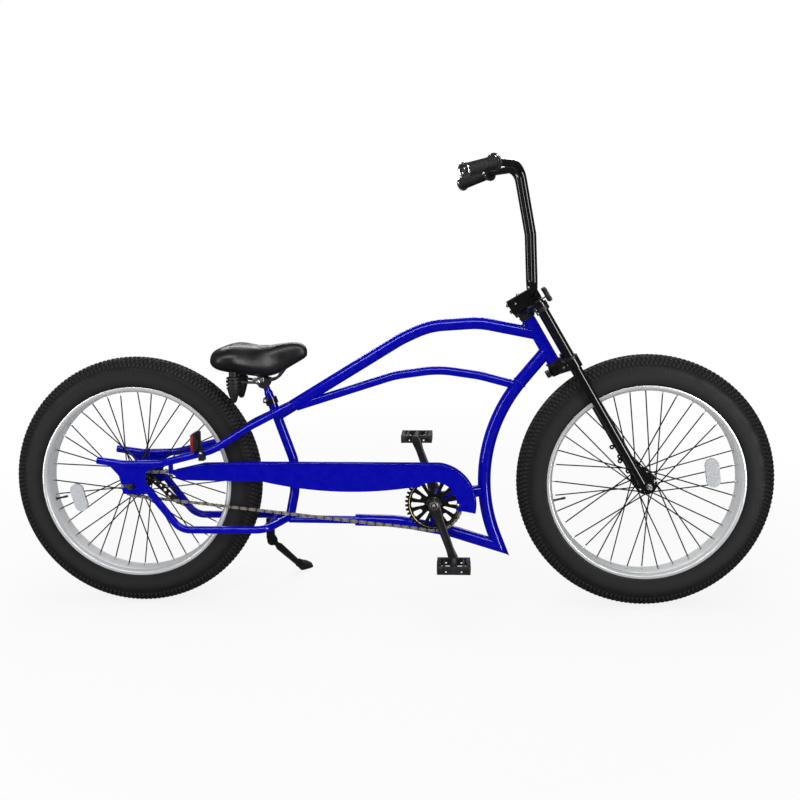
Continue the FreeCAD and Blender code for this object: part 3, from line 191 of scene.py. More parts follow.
class Shape:
    """Closed patches of one mesh: their corner points in the row frame, faces and one mark a point."""

    def __init__(self, local=UPRIGHT):
        self.local = local
        self.points, self.faces, self.marks = [], [], []
        self.count = 0

    def add(self, points, faces, mark=0.0):
        """Adds a patch, turned so that it holds a positive volume."""
        points = np.asarray(points, float).reshape(-1, 3)
        centre = points.mean(0)
        volume = 0.0
        for block in faces:
            corners = points[block] - centre
            for k in range(1, corners.shape[1] - 1):
                volume += np.einsum("ij,ij->", corners[:, 0], np.cross(corners[:, k], corners[:, k + 1]))
        for block in faces:
            turned = block if volume > 0 else block[:, ::-1]
            self.faces += (turned + self.count).tolist()
        self.points.append(self.local.place(points))
        self.marks.append(np.broadcast_to(np.asarray(mark, float), (len(points),)))
        self.count += len(points)
        return self

    def rings(self, rings, closed=False, mark=0.0):
        """Quads between like rings of points, closed in a loop or by an end face at each end."""
        rows, columns = rings.shape[:2]
        index = np.arange(rows * columns).reshape(rows, columns)
        following = np.roll(index, -1, axis=0) if closed else index[1:]
        here = index if closed else index[:-1]
        quads = np.stack([here, np.roll(here, -1, axis=1), np.roll(following, -1, axis=1), following],
                         axis=-1)
        faces = [quads.reshape(-1, 4)]
        if not closed:
            faces += [index[:1, ::-1], index[-1:]]
        return self.add(rings, faces, mark)

    def tube(self, path, radius, sides, closed=False, up=TO_LEFT):
        return self.rings(tube_rings(path, radius, sides, closed, up), closed)

    def rod(self, start, end, radius, sides, edge=0.0):
        """A round bar, whose two edges a small chamfer may break."""
        start, end = np.asarray(start, float), np.asarray(end, float)
        length = float(np.linalg.norm(end - start))
        profile = [(0, radius), (length, radius)]
        if edge:
            profile = [(0, radius - edge), (edge, radius), (length - edge, radius),
                       (length, radius - edge)]
        return self.rings(lathe_rings(profile, start, end - start, sides))

    def lathe(self, profile, start, axis=TO_LEFT, sides=48, closed=False):
        return self.rings(lathe_rings(profile, start, axis, sides), closed)

    def block(self, size, centre, corner, steps=3):
        return self.rings(rounded_block(size, centre, corner, steps))

    def plate(self, outline, y_low, y_high, holes, edge, centre=(0.0, 0.0, 0.0)):
        """A flat plate in the X-Z plane of its frame, with holes and broken edges."""
        points, faces = filled_outline(outline, holes, y_high - y_low, edge)
        points = points[:, [0, 2, 1]] + np.array([0.0, (y_low + y_high) / 2, 0.0])
        return self.add(points + np.asarray(centre, float), faces)

    def hexagon(self, start, axis, across_flats, height, dome):
        """A bolt head: a six-sided ring with chamfered ends under a low dome."""
        corner = across_flats / math.sqrt(3)
        sides = [(0, corner * 0.94), (height * 0.12, corner), (height * 0.86, corner),
                 (height, corner * 0.9)]
        self.rings(lathe_rings(sides, start, axis, 6))
        top = [(height, across_flats * 0.3), (height + dome, across_flats * 0.18)]
        return self.lathe(top, start, axis, 16)

    def round_head(self, start, axis, radius, height):
        """A domed bolt head on a thin washer."""
        profile = [(0, radius * 1.35), (height * 0.22, radius * 1.35), (height * 0.24, radius),
                   (height * 0.6, radius), (height * 0.9, radius * 0.66), (height, radius * 0.2)]
        return self.lathe(profile, start, axis, 20)

    def above_floor(self):
        """Presses flat what would reach below the floor."""
        for placed in self.points:
            placed[:, 2] = np.maximum(placed[:, 2], FLOOR_GAP)
        return self


def filled_outline(outline, holes, thickness, edge):
    """Fills a flat closed curve with holes and gives it thickness: its points and its faces by size."""
    curve = bpy.data.curves.new("outline", "CURVE")
    curve.dimensions = "2D"
    curve.fill_mode = "BOTH"
    curve.extrude = (thickness / 2 - edge) * MM
    curve.bevel_depth = edge * MM
    curve.bevel_resolution = 1
    for loop in [outline, *holes]:
        loop = np.asarray(loop, float)
        flat = np.zeros((len(loop), 4))
        flat[:, :2] = loop * MM
        flat[:, 3] = 1.0
        spline = curve.splines.new("POLY")
        spline.points.add(len(loop) - 1)
        spline.points.foreach_set("co", flat.ravel())
        spline.use_cyclic_u = True
    holder = bpy.data.objects.new("outline", curve)
    mesh = bpy.data.meshes.new_from_object(holder)
    points = np.zeros(len(mesh.vertices) * 3)
    mesh.vertices.foreach_get("co", points)
    points = points.reshape(-1, 3) / MM
    points, merged = np.unique(np.round(points, 4), axis=0, return_inverse=True)
    merged = merged.ravel()
    corners = np.zeros(len(mesh.loops), int)
    mesh.loops.foreach_get("vertex_index", corners)
    starts = np.zeros(len(mesh.polygons), int)
    totals = np.zeros(len(mesh.polygons), int)
    mesh.polygons.foreach_get("loop_start", starts)
    mesh.polygons.foreach_get("loop_total", totals)
    faces = []
    for size in np.unique(totals):
        block = merged[corners[starts[totals == size][:, None] + np.arange(size)]]
        if size == 3:
            block = block[np.all(block != np.roll(block, 1, axis=1), axis=1)]
        faces.append(block)
    bpy.data.meshes.remove(mesh)
    bpy.data.objects.remove(holder)
    bpy.data.curves.remove(curve)
    return points, faces


def piece(name, shape, body, finish, crease=32.0, replaces=None):
    """Makes the mesh object, smooth but for edges sharper than the crease, and rides it on its body.
    Its one slot holds the finish of that name."""
    mesh = bpy.data.meshes.new(name)
    mesh.from_pydata(np.concatenate(shape.points), [], shape.faces)
    mesh.update()
    mark = mesh.attributes.new("mark", "FLOAT", "POINT")
    mark.data.foreach_set("value", np.concatenate(shape.marks).astype(np.float32))
    crease_edges(mesh, crease)
    mesh.materials.append(FINISHES[finish])
    made = bpy.data.objects.new(name, mesh)
    bpy.context.scene.collection.objects.link(made)
    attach(made, body)
    if replaces:
        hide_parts(replaces)
    return made


def crease_edges(mesh, crease):
    """Shades smooth, and marks each edge whose two faces meet at more than the crease angle."""
    mesh.polygons.foreach_set("use_smooth", np.ones(len(mesh.polygons), bool))
    edge_of = np.zeros(len(mesh.loops), int)
    mesh.loops.foreach_get("edge_index", edge_of)
    totals = np.zeros(len(mesh.polygons), int)
    mesh.polygons.foreach_get("loop_total", totals)
    normals = np.zeros(len(mesh.polygons) * 3)
    mesh.polygons.foreach_get("normal", normals)
    normals = normals.reshape(-1, 3)[np.repeat(np.arange(len(totals)), totals)]
    order = np.argsort(edge_of, kind="stable")
    edge_of, normals = edge_of[order], normals[order]
    pair = np.flatnonzero(edge_of[:-1] == edge_of[1:])
    bend = np.einsum("ij,ij->i", normals[pair], normals[pair + 1])
    sharp = np.zeros(len(mesh.edges), bool)
    sharp[edge_of[pair[bend < math.cos(math.radians(crease))]]] = True
    mesh.attributes.new("sharp_edge", "BOOLEAN", "EDGE").data.foreach_set("value", sharp)


# Finishes
class Wire:
    """A shader socket that Python arithmetic works on: each operation adds one Math node."""

    def __init__(self, nodes, socket):
        self.nodes, self.socket = nodes, socket

    def math(self, operation, first, second):
        node = self.nodes.add("ShaderNodeMath", {"operation": operation}, {0: first, 1: second})
        return Wire(self.nodes, node.outputs[0])

    def __add__(self, other):
        return self.math("ADD", self, other)

    def __sub__(self, other):
        return self.math("SUBTRACT", self, other)

    def __rsub__(self, other):
        return self.math("SUBTRACT", other, self)

    def __mul__(self, other):
        return self.math("MULTIPLY", self, other)

    __radd__ = __add__
    __rmul__ = __mul__


class Nodes:
    """The node tree of a material or of the world."""

    def __init__(self, tree):
        self.tree = tree
        tree.nodes.clear()

    def add(self, kind, settings, sockets):
        """Any node: its settings are set first, and then its sockets' values or links."""
        node = self.tree.nodes.new(kind)
        for key, value in settings.items():
            setattr(node, key, value)
        for key, value in sockets.items():
            self.plug(node.inputs[key], value)
        return node

    def plug(self, socket, value):
        if isinstance(value, Wire):
            value = value.socket
        if isinstance(value, bpy.types.NodeSocket):
            self.tree.links.new(value, socket)
        elif socket.type == "RGBA" and len(value) == 3:
            socket.default_value = (*value, 1.0)
        else:
            socket.default_value = value

    def spread(self, value, from_low, from_high, to_low=0.0, to_high=1.0):
        """A number between the first two, carried to its place between the last two."""
        sockets = dict(enumerate((value, from_low, from_high, to_low, to_high)))
        return Wire(self, self.add("ShaderNodeMapRange", {}, sockets).outputs[0])

    def ray(self, kind):
        """1 for a ray of this kind and 0 for any other."""
        return Wire(self, self.add("ShaderNodeLightPath", {}, {}).outputs[kind])

    def seen_ray(self):
        """1 where the camera sees a surface straight or through glass."""
        camera = self.ray("Is Camera Ray")
        return camera.math("MAXIMUM", camera, self.ray("Is Transmission Ray"))


class Finish(Nodes):
    """A material being made: one Principled shader, and the nodes that feed it."""

    def __init__(self, name, **constants):
        self.material = bpy.data.materials.new(name)
        self.material.use_nodes = True
        super().__init__(self.material.node_tree)
        sockets = {key.replace("_", " "): value for key, value in constants.items()}
        self.shader = self.add("ShaderNodeBsdfPrincipled", {}, sockets)
        self.output = self.add("ShaderNodeOutputMaterial", {}, {"Surface": self.shader.outputs[0]})
        self.place = self.add("ShaderNodeTexCoord", {}, {}).outputs["Object"]

    def noise(self, scale, detail, stretch=(1.0, 1.0, 1.0)):
        place = self.add("ShaderNodeMapping", {}, {"Vector": self.place, "Scale": stretch}).outputs[0]
        sockets = {"Vector": place, "Scale": scale, "Detail": detail}
        return Wire(self, self.add("ShaderNodeTexNoise", {}, sockets).outputs[0])

    def cells(self, scale, feature):
        sockets = {"Vector": self.place, "Scale": scale}
        node = self.add("ShaderNodeTexVoronoi", {"feature": feature}, sockets)
        return Wire(self, node.outputs["Distance"])

    def mark(self):
        """The number that each point of the piece carries."""
        return Wire(self, self.add("ShaderNodeAttribute", {"attribute_name": "mark"}, {}).outputs["Fac"])

    def blend(self, colour_a, colour_b, factor):
        sockets = {0: factor, 6: colour_a, 7: colour_b}
        return self.add("ShaderNodeMix", {"data_type": "RGBA"}, sockets).outputs[2]

    def feed(self, **inputs):
        for key, value in inputs.items():
            self.plug(self.shader.inputs[key.replace("_", " ")], value)
        return self

    def bump(self, height, distance, strength=1.0):
        sockets = {"Strength": strength, "Distance": distance, "Height": height}
        return self.feed(Normal=self.add("ShaderNodeBump", {}, sockets).outputs[0])


def shade(colour, gain, lift=0.0):
    """A darker or paler colour: each channel times the gain, plus the lift."""
    return tuple(min(1.0, channel * gain + lift) for channel in colour)


def painted(name, colour, roughness, coat=0.0, specular=0.3, peel=0.00001):
    """Sprayed paint: a faint mottle in its colour and gloss, and the fine ripple of orange peel."""
    finish = Finish(name, Base_Color=colour, Coat_Weight=coat, Coat_Roughness=0.04,
                    Specular_IOR_Level=specular)
    mottle = finish.noise(60.0, 4.0)
    dust = finish.noise(900.0, 2.0)
    paler = shade(colour, 1.03, 0.002)
    finish.feed(Base_Color=finish.blend(colour, paler, finish.spread(mottle, 0.42, 0.62)),
                Roughness=finish.spread(mottle + dust * 0.4, 0.5, 0.9, roughness * 0.85, roughness * 1.2))
    return finish.bump(finish.noise(420.0, 2.0), peel).material


def metal(name, colour, roughness, scale=700.0, metallic=1.0):
    """Plain or plated steel: a cast grain in its gloss, and darker soiled spots."""
    finish = Finish(name, Base_Color=colour, Metallic=metallic)
    grain = finish.noise(scale, 3.0)
    soil = finish.noise(45.0, 5.0)
    soiled = finish.spread(soil, 0.52, 0.78, 0.0, 0.8)
    finish.feed(Base_Color=finish.blend(colour, shade(colour, 0.72), soiled),
                Roughness=finish.spread(grain + soil * 0.5, 0.5, 1.0, roughness * 0.7, roughness * 1.5))
    return finish.bump(grain, 0.00003).material


def moulded(name, colour, roughness):
    """Moulded rubber or plastic: a spark-eroded grain, dust that dulls it and slightly paler high
    spots."""
    finish = Finish(name, Base_Color=colour, Specular_IOR_Level=0.35)
    grain = finish.noise(2600.0, 3.0)
    dust = finish.noise(24.0, 6.0)
    paler = shade(colour, 1.6, 0.006)
    finish.feed(Base_Color=finish.blend(colour, paler, finish.spread(dust + grain * 0.3, 0.55, 0.95)),
                Roughness=finish.spread(dust, 0.35, 0.7, roughness * 0.9, roughness * 1.15))
    return finish.bump(grain, 0.00008).material


def tyre_rubber(name, look):
    """Tyre rubber, with the knobs painted paler as a painted highlight on their tops, and a painted light band on
    the wall that leaves the wall darker towards the bead.
    A point's mark is -0.8 on a knob, 0 between knobs and rises from 1 at the shoulder to 2 at the bead."""
    rubber = tuple(look.rubber)
    finish = Finish(name, Base_Color=rubber, Specular_IOR_Level=0.16)
    mark = finish.mark()
    side = finish.spread(mark, 0.9, 1.15)
    # painted light: a paler band on the wall where its bulge would catch the light, fading to darker rubber
    # towards the bead
    painted_wall_light = finish.spread(mark, 1.2, 1.5) * (1 - finish.spread(mark, 1.55, 1.85))
    dust = finish.noise(30.0, 6.0)
    grain = finish.noise(2200.0, 3.0)
    # painted highlight: the knobs' tops are painted paler than the rubber between them
    tread = finish.blend(rubber, shade(rubber, 2.1), finish.spread(mark, -0.25, -0.7))
    base = finish.blend(tread, shade(rubber, 1.25), side * finish.spread(dust, 0.3, 0.7, 0.6, 1.0))
    base = finish.blend(base, shade(rubber, 2.6), painted_wall_light * 0.75)
    finish.feed(Base_Color=base, Roughness=finish.spread(dust - side * 0.25, 0.2, 0.8, 0.45, 0.78))
    return finish.bump(grain, 0.00012).material


def rim_alloy(name, look):
    """Alloy rim. A point's mark is 1 on the polished side bands and 0 on the matt inner face."""
    bright = tuple(look.alloy)
    finish = Finish(name, Base_Color=bright, Metallic=1.0)
    mark = finish.mark()
    lines = finish.noise(500.0, 3.0, (1.0, 6.0, 1.0))
    cloud = finish.noise(14.0, 4.0)
    finish.feed(Base_Color=finish.blend(shade(bright, 0.86), bright, mark),
                Roughness=finish.spread(mark, 0.0, 1.0, 0.5, 0.16) + (cloud + lines * 0.5) * 0.12,
                Metallic=finish.spread(mark, 0.0, 1.0, 0.05, 0.35))
    return finish.bump(lines, 0.00003).material


def vinyl(name, look):
    """Saddle vinyl: leather-like pebbles from cells, finer creases between them and a soft sheen."""
    cover = tuple(look.vinyl)
    finish = Finish(name, Base_Color=cover, Specular_IOR_Level=0.4)
    pebble = finish.cells(620.0, "SMOOTH_F1")
    crease = finish.cells(300.0, "DISTANCE_TO_EDGE")
    dust = finish.noise(18.0, 5.0)
    finish.feed(Base_Color=finish.blend(cover, shade(cover, 1.8, 0.002), finish.spread(dust, 0.4, 0.75)),
                Roughness=finish.spread(dust + pebble * 0.3, 0.3, 1.0, 0.3, 0.44))
    return finish.bump(pebble * 0.6 + crease * 0.8, 0.00005, 0.6).material


def lens(name, colour, depth):
    """Reflector plastic: small pyramids in rows behind a clear face, dark to the given depth."""
    finish = Finish(name, Base_Color=colour, Roughness=0.08, Specular_IOR_Level=0.6, Coat_Weight=0.6)
    rows = finish.cells(330.0, "F1")
    facet = finish.spread(rows, 0.1, 0.7)
    finish.feed(Base_Color=finish.blend(colour, shade(colour, 1 - depth), facet),
                Roughness=facet * 0.25 + 0.06)
    return finish.bump(rows, 0.0005).material


FINISHES = {}


def make_finishes(look):
    """Every finish of the bicycle, by the record's slot names and the few that belong to new pieces."""
    FINISHES.update({
        "frame_paint": painted("frame_paint", tuple(look.paint), 0.16, coat=0.6, specular=0.1),
        "black_metal": painted("black_metal", tuple(look.black), 0.14, coat=0.8, specular=0.2),
        "satin_black": painted("satin_black", (0.016, 0.0155, 0.015), 0.34, specular=0.5, peel=0.00003),
        "spoke_black": painted("spoke_black", (0.007, 0.007, 0.008), 0.35, specular=0.25),
        "tyre_rubber": tyre_rubber("tyre_rubber", look),
        "foot_rubber": moulded("foot_rubber", (0.012, 0.012, 0.012), 0.6),
        "grip_rubber": moulded("grip_rubber", (0.011, 0.011, 0.011), 0.62),
        "rim_alloy": rim_alloy("rim_alloy", look),
        "chrome": metal("chrome", (0.82, 0.82, 0.84), 0.09),
        "bright_steel": metal("bright_steel", (0.55, 0.54, 0.52), 0.28),
        "dark_steel": metal("dark_steel", (0.16, 0.15, 0.13), 0.36),
        "chain_steel": metal("chain_steel", (0.66, 0.6, 0.5), 0.3, scale=1400.0, metallic=0.6),
        "brass": metal("brass", (0.55, 0.42, 0.2), 0.3),
        "black_plastic": moulded("black_plastic", (0.014, 0.014, 0.014), 0.45),
        "saddle_cover": vinyl("saddle_cover", look),
        "red_lens": lens("red_lens", (0.62, 0.008, 0.006), 0.55),
        "amber_lens": lens("amber_lens", (0.8, 0.22, 0.01), 0.55),
        "clear_lens": lens("clear_lens", (0.9, 0.93, 0.97), 0.35),
    })


CARRIED_OVER = {  # CAD nodes whose finish isn't the record's slot of the same name
    "rear_axle": "dark_steel",
    "headset": "satin_black",
    "spindle": "dark_steel",
    "brake_arm": "satin_black",
    "saddle_frame": "black_plastic",
    "crank_arm_right": "satin_black",
    "crank_arm_left": "satin_black",
}


# Wheels
TYRE_R, TYRE_H = 372.5, 99.0
SECTION_R = 45.7
SECTION_CENTRE_R = TYRE_R - TYRE_H / 2
BEAD_Y, BEAD_R = 41.0, 285.6
TREAD_LANES = 7
LANE_STEPS = 8                    # the grid's steps across one lane, and round one knob
KNOB_MARK = 0.8
RIB_H, RING_H, RING_W = 1.1, 0.5, 0.07
RIM_INNER_R, RIM_SIDES = 270.0, 240
SPOKES, SPOKE_R, SPOKE_END_R, SPOKE_END_Y = 36, 1.9, 272.0, 6.0
SPOKE_CROSS = math.radians(60.0)  # how far round the rim a spoke ends from where it starts
FLANGE_Y, FLANGE_R, FLANGE_T, SPOKE_CIRCLE_R = 36.0, 33.0, 3.0, 29.0
VALVE_TURN = math.radians(193.0)
HUB = {"front": (17.0, 52.0), "rear": (24.0, 56.0)}       # body radius and half length
HUB_WINDOWS = {"front": 8, "rear": 0}
WHEELS = {"front": FRONT_WHEEL, "rear": UPRIGHT}


def tyre_shape(end, tyres):
    """The section's angle f and the turn t are the two parameters: a circle of the section's radius
    from shoulder to shoulder and a quarter ellipse down to each bead, all turned round the axle. Along
    the section's normal stand the knobs, each a product of two soft boxes in t and f, then the
    shoulder's ribs and two thin rings on the wall."""
    quarter = math.pi / 2
    tread = np.radians(tyres.tread_angle)
    crown = np.linspace(-tread, tread, TREAD_LANES * LANE_STEPS + 1)
    shoulder = np.linspace(tread, quarter, 6)[1:]
    drop = np.linspace(0, quarter, 9)[1:]
    angle = np.concatenate([-shoulder[::-1], crown, shoulder])
    wall_y = BEAD_Y + (SECTION_R - BEAD_Y) * np.cos(drop)
    y = np.concatenate([-wall_y[::-1], SECTION_R * np.sin(angle), wall_y])
    wall_r = SECTION_CENTRE_R - (SECTION_CENTRE_R - BEAD_R) * np.sin(drop)
    r = np.concatenate([wall_r[::-1], SECTION_CENTRE_R + SECTION_R * np.cos(angle), wall_r])
    level = np.full(len(drop), quarter)
    f = np.concatenate([-level, angle, level])
    wall_mark = 1.4 + 0.6 * (drop / quarter)
    crown_mark = soft_step(tread, quarter, abs(angle)) * 0.6 + (abs(angle) > tread) * 0.8
    mark = np.concatenate([wall_mark[::-1], crown_mark, wall_mark])

    t = turns(tyres.knobs * LANE_STEPS)[:, None]
    row = (f + tread) / (2 * tread) * TREAD_LANES
    lane = np.floor(np.clip(row, 0, TREAD_LANES - 0.001))
    step = t / FULL_TURN * tyres.knobs
    beat = abs((step + 0.5 * (lane % 2)) % 1.0 - 0.5)
    across = abs(row - lane - 0.5)
    wide = np.where((lane < 1) | (lane > TREAD_LANES - 2), 0.4, 0.31)
    knob = (1 - soft_step(0.26, 0.40, beat)) * (1 - soft_step(wide, wide + 0.12, across))
    knob = knob * (abs(f) <= tread + 1e-6)
    rib = (1 - soft_step(0.2, 0.42, abs(step % 1.0 - 0.5))) * (abs(f) > tread)
    rib = rib * (1 - soft_step(tread, 1.45, abs(f)))
    low = np.concatenate([drop[::-1], angle * 0, drop])
    ring = sum(np.exp(-((low - at) / RING_W) ** 2) for at in (1.1, 0.45))
    height = tyres.knob_height * knob + RIB_H * rib + RING_H * ring
    rings = round_axle(r + height * np.cos(f), t, y + height * np.sin(f))
    shape = Shape(WHEELS[end]).rings(rings, closed=True, mark=(mark - KNOB_MARK * knob).ravel())
    return shape.above_floor()


def rim_shape(end):
    """A closed outline of half widths and radii turned round the axle: hooked edges, slanted side
    bands, a crowned inner face and a well under the tyre."""
    half = [(30.0, 279.5), (35.0, 280.0), (38.5, 284.0), (40.2, 285.6), (41.4, 285.4), (42.0, 284.2),
            (42.0, 278.0), (41.2, 276.6), (36.0, 273.2), (31.2, 270.5), (29.4, 270.0), (18.0, 269.6),
            (6.0, 269.4)]
    bright = [0, 0, 0, 1, 1, 1, 1, 1, 1, 1, 0.3, 0, 0]
    outline = half + [(-y, r) for y, r in reversed(half)]
    rings = lathe_rings(outline, (0, 0, 0), TO_LEFT, RIM_SIDES)
    mark = np.repeat(np.array(bright + bright[::-1], float), RIM_SIDES)
    return Shape(WHEELS[end]).rings(rings, closed=True, mark=mark)


def hub_shape(end):
    """The hub's shell turned from its profile, with two flanges, drilled at the front."""
    body_r, half_l = HUB[end]
    shape = Shape(WHEELS[end])
    half = [(half_l, 9.5), (half_l, body_r * 0.62), (half_l - 7, body_r * 0.7), (half_l - 9, body_r),
            (FLANGE_Y + 2, body_r + 1), (FLANGE_Y - 2, body_r + 1), (FLANGE_Y - 12, body_r * 0.86)]
    shape.lathe([(-y, r) for y, r in half] + half[::-1], (0, 0, 0), sides=40)
    holes = []
    for k in range(HUB_WINDOWS[end]):
        middle = 360.0 / HUB_WINDOWS[end] * k
        holes.append(np.concatenate([arc(26.2, middle - 11, middle + 11, 8),
                                     arc(20.4, middle + 10, middle - 10, 8)]))
    for y in (-FLANGE_Y, FLANGE_Y):
        shape.plate(arc(FLANGE_R, 0, 355, 72), y - FLANGE_T / 2, y + FLANGE_T / 2, holes, 0.4)
    return shape


def spoke_turns(side):
    """The spokes of one flange: the way that each crosses, and its turn at the hub and at the rim."""
    k = np.arange(SPOKES // 2)
    way = np.where(k % 2, 1, -1)
    at_hub = FULL_TURN / len(k) * (k + (0.5 if side > 0 else 0.0))
    return way, at_hub, at_hub + SPOKE_CROSS * way


def spokes_shape(end):
    """Straight round spokes from flange to rim, every other one the other way round the hub, each
    leaving the flange's face through a short bend."""
    shape = Shape(WHEELS[end])
    for side in (-1, 1):
        way, at_hub, at_rim = spoke_turns(side)
        heads = round_axle(SPOKE_CIRCLE_R, at_hub, side * (FLANGE_Y - way * 2.6))
        bends = round_axle(SPOKE_CIRCLE_R, at_hub, side * (FLANGE_Y + way * 2.0))
        stops = round_axle(SPOKE_END_R, at_rim, side * SPOKE_END_Y)
        for head, bend, stop in zip(heads, bends, stops):
            along = unit(stop - bend)
            path = np.array([head, bend - (bend - head) * 0.3, bend + along * 2.0, stop])
            shape.tube(path, SPOKE_R, 8, up=along[[2, 0, 1]] + 0.1)
    return shape


def nipples_shape(end):
    """Turned nipples standing in from the rim along each spoke."""
    profile = [(-1, 3.6), (0.6, 3.4), (1.2, 2.3), (9, 2.1), (11, 1.5)]
    shape = Shape(WHEELS[end])
    for side in (-1, 1):
        at_hub, at_rim = spoke_turns(side)[1:]
        starts = round_axle(SPOKE_CIRCLE_R, at_hub, side * FLANGE_Y)
        stops = round_axle(RIM_INNER_R, at_rim, side * SPOKE_END_Y)
        for start, stop in zip(starts, stops):
            shape.lathe(profile, stop, start - stop, 10)
    return shape


# Drive
PITCH = 12.7
RING_TEETH, COG_TEETH = 40, 18
RING_SLOTS, RING_R = 14, 72.6
CHAIN_Y = -60.0
LINKS = 170
PLATE_IN_Y, PLATE_OUT_Y, PLATE_T = 1.75, 3.05, 1.15       # side plates, from the chain's middle
ARM_Y, ARM_L, ARM_ANGLE = 88.0, 170.0, -70.6


def pitch_radius(teeth):
    return PITCH / 2 / math.sin(math.pi / teeth)


def chain_line(count):
    """Points an even step apart along the belt round cog and chainring, and the way along it there."""
    centres = np.array([[0.0, 0.0], [BB_X, BB_Z]])
    radii = np.array([pitch_radius(COG_TEETH), pitch_radius(RING_TEETH)])
    along = unit(centres[1] - centres[0])
    span = float(np.linalg.norm(centres[1] - centres[0]))
    lift = math.acos((radii[0] - radii[1]) / span)
    base = math.atan2(along[1], along[0])
    upper, lower = base + lift, base - lift
    run = span * math.sin(lift)
    lengths = np.cumsum([0.0, run, radii[1] * 2 * lift, run, radii[0] * (FULL_TURN - 2 * lift)])
    s = ((np.arange(count) + 0.5) / count * lengths[-1])[:, None]

    def on(circle, angle):
        return centres[circle] + radii[circle] * np.hstack([np.cos(angle), np.sin(angle)])

    stretches = np.stack([
        on(0, upper) + s / run * (on(1, upper) - on(0, upper)),
        on(1, upper - (s - lengths[1]) / radii[1]),
        on(1, lower) + (s - lengths[2]) / run * (on(0, lower) - on(1, lower)),
        on(0, lower - (s - lengths[3]) / radii[0]),
    ])
    which = np.searchsorted(lengths, s.ravel(), side="right") - 1
    return stretches[which, np.arange(count)]


def link_outline(half_h, waist):
    """A figure of eight: two half circles a pitch apart, joined by sides that pull in at the waist."""
    return np.concatenate([arc(half_h, -80, 80, 7, PITCH / 2), [[0.0, waist]],
                           arc(half_h, 100, 260, 7, -PITCH / 2), [[0.0, -waist]]])


def chain_shapes():
    """Bright outer side plates, and the dark inner plates, rollers and pins, link by link."""
    pins = chain_line(LINKS)
    following = np.roll(pins, -1, axis=0)
    middle, along = (pins + following) / 2, unit(following - pins)
    square = np.stack([-along[:, 1], along[:, 0]], 1)
    bright, dark = Shape(), Shape()
    length, height = np.split(link_outline(4.3, 3.1), 2, axis=1)
    flat = middle[:, None] + along[:, None] * length + square[:, None] * height
    for k, (x, z) in enumerate(pins):
        held, y_in = (dark, PLATE_IN_Y) if k % 2 else (bright, PLATE_OUT_Y)
        for side in (-1, 1):
            held.rings(np.stack([np.insert(flat[k], 1, CHAIN_Y + side * y, axis=1)
                                 for y in (y_in, y_in + PLATE_T)]))
        for reach, radius, sides in ((4.9, 1.9, 8), (1.6, 3.8, 10)):
            dark.rod((x, CHAIN_Y - reach, z), (x, CHAIN_Y + reach, z), radius, sides)
    return bright, dark


def toothed_outline(teeth):
    """Root and tip circles joined by rounded flanks: the radius is a clipped cosine of the angle."""
    angle = turns(teeth * 10)
    wave = np.clip(0.5 - 1.25 * np.cos(angle * teeth), 0, 1)
    radius = pitch_radius(teeth) - 3.6 + 7.6 * wave
    return np.stack([radius * np.cos(angle), radius * np.sin(angle)], 1)


def petal(inner_r, outer_r, middle_deg, half_in, half_out):
    """A slot that widens outwards, with round ends."""
    way = math.radians(middle_deg)
    out = np.array([math.cos(way), math.sin(way)])
    side = np.array([-out[1], out[0]])
    ends = np.radians(np.linspace(-80, 80, 9))[:, None]
    far = out * (outer_r - half_out * 0.55) + half_out * (np.cos(ends) * 0.55 * out + np.sin(ends) * side)
    near = out * (inner_r + half_in) + half_in * (-np.cos(ends) * out - np.sin(ends) * side)
    return np.concatenate([far, near])


def chainring_shape():
    """The toothed plate with long and short slots by turns, and its pressed boss."""
    shape = Shape(CRANK)
    holes = []
    for k in range(RING_SLOTS):
        inner_r, half_in = (28.5, 3.6) if k % 2 else (41.0, 6.2)
        holes.append(petal(inner_r, 68.0, 360.0 / RING_SLOTS * k + 4.0, half_in, 8.6))
    shape.plate(toothed_outline(RING_TEETH), CHAIN_Y - 1.4, CHAIN_Y + 1.4, holes, 0.4)
    boss = [(-16.5, 9.2), (-17.5, 15.0), (-16, 19.5), (-8, 21.5), (-2.5, 25.5), (1.4, 25.5), (1.4, 9.2)]
    return shape.lathe(boss, (0, CHAIN_Y, 0), closed=True)


def ring_edge_shape():
    """The bright edge on the chainring's face: a thin tube round a circle."""
    path = round_axle(RING_R, turns(144), CHAIN_Y - 1.7)
    return Shape(CRANK).tube(path, 0.9, 8, closed=True)


def crank_arm_shape(angle_deg, side):
    """A loft along the arm: rounded boxes whose half width joins the two round ends, thinner in the
    middle, with a groove along the outer face."""
    boss_r, end_r = 18.0, 14.0
    s = np.concatenate([-boss_r * np.cos(np.linspace(0.12, math.pi / 2, 8)),
                        np.linspace(8, ARM_L - 8, 24),
                        ARM_L + end_r * np.sin(np.linspace(0, math.pi / 2 - 0.12, 8))])
    blend = soft_step(6, 48, s)
    rise = soft_step(ARM_L - 38, ARM_L - 4, s)
    middle_w = np.interp(s, (0, ARM_L), (14.4, 10.6))
    round_in = np.sqrt(np.clip(boss_r ** 2 - np.clip(s, -boss_r, 0) ** 2, 1.0, None))
    round_out = np.sqrt(np.clip(end_r ** 2 - np.clip(s - ARM_L, 0, end_r) ** 2, 1.0, None))
    half_w = round_in * (1 - blend) + middle_w * blend * (1 - rise) + round_out * rise
    half_t = 9.0 - 2.4 * blend * (1 - rise)
    u, v = box_section(turns(40), 0.42, 0.42)
    groove = 1.8 * np.exp(-(u / 0.45) ** 4) * (v > 0.6)
    deep = (soft_step(34, 50, s) * (1 - soft_step(ARM_L - 40, ARM_L - 24, s)))[:, None] * groove
    across, thick = half_w[:, None] * u, half_t[:, None] * v - deep
    out = round_axle(1.0, math.radians(angle_deg), 0.0)
    up = np.array([-out[2], 0.0, out[0]])
    rings = (s[:, None, None] * out + across[..., None] * up
             + (side * (ARM_Y + thick))[..., None] * np.array(TO_LEFT))
    return Shape(CRANK).rings(rings)


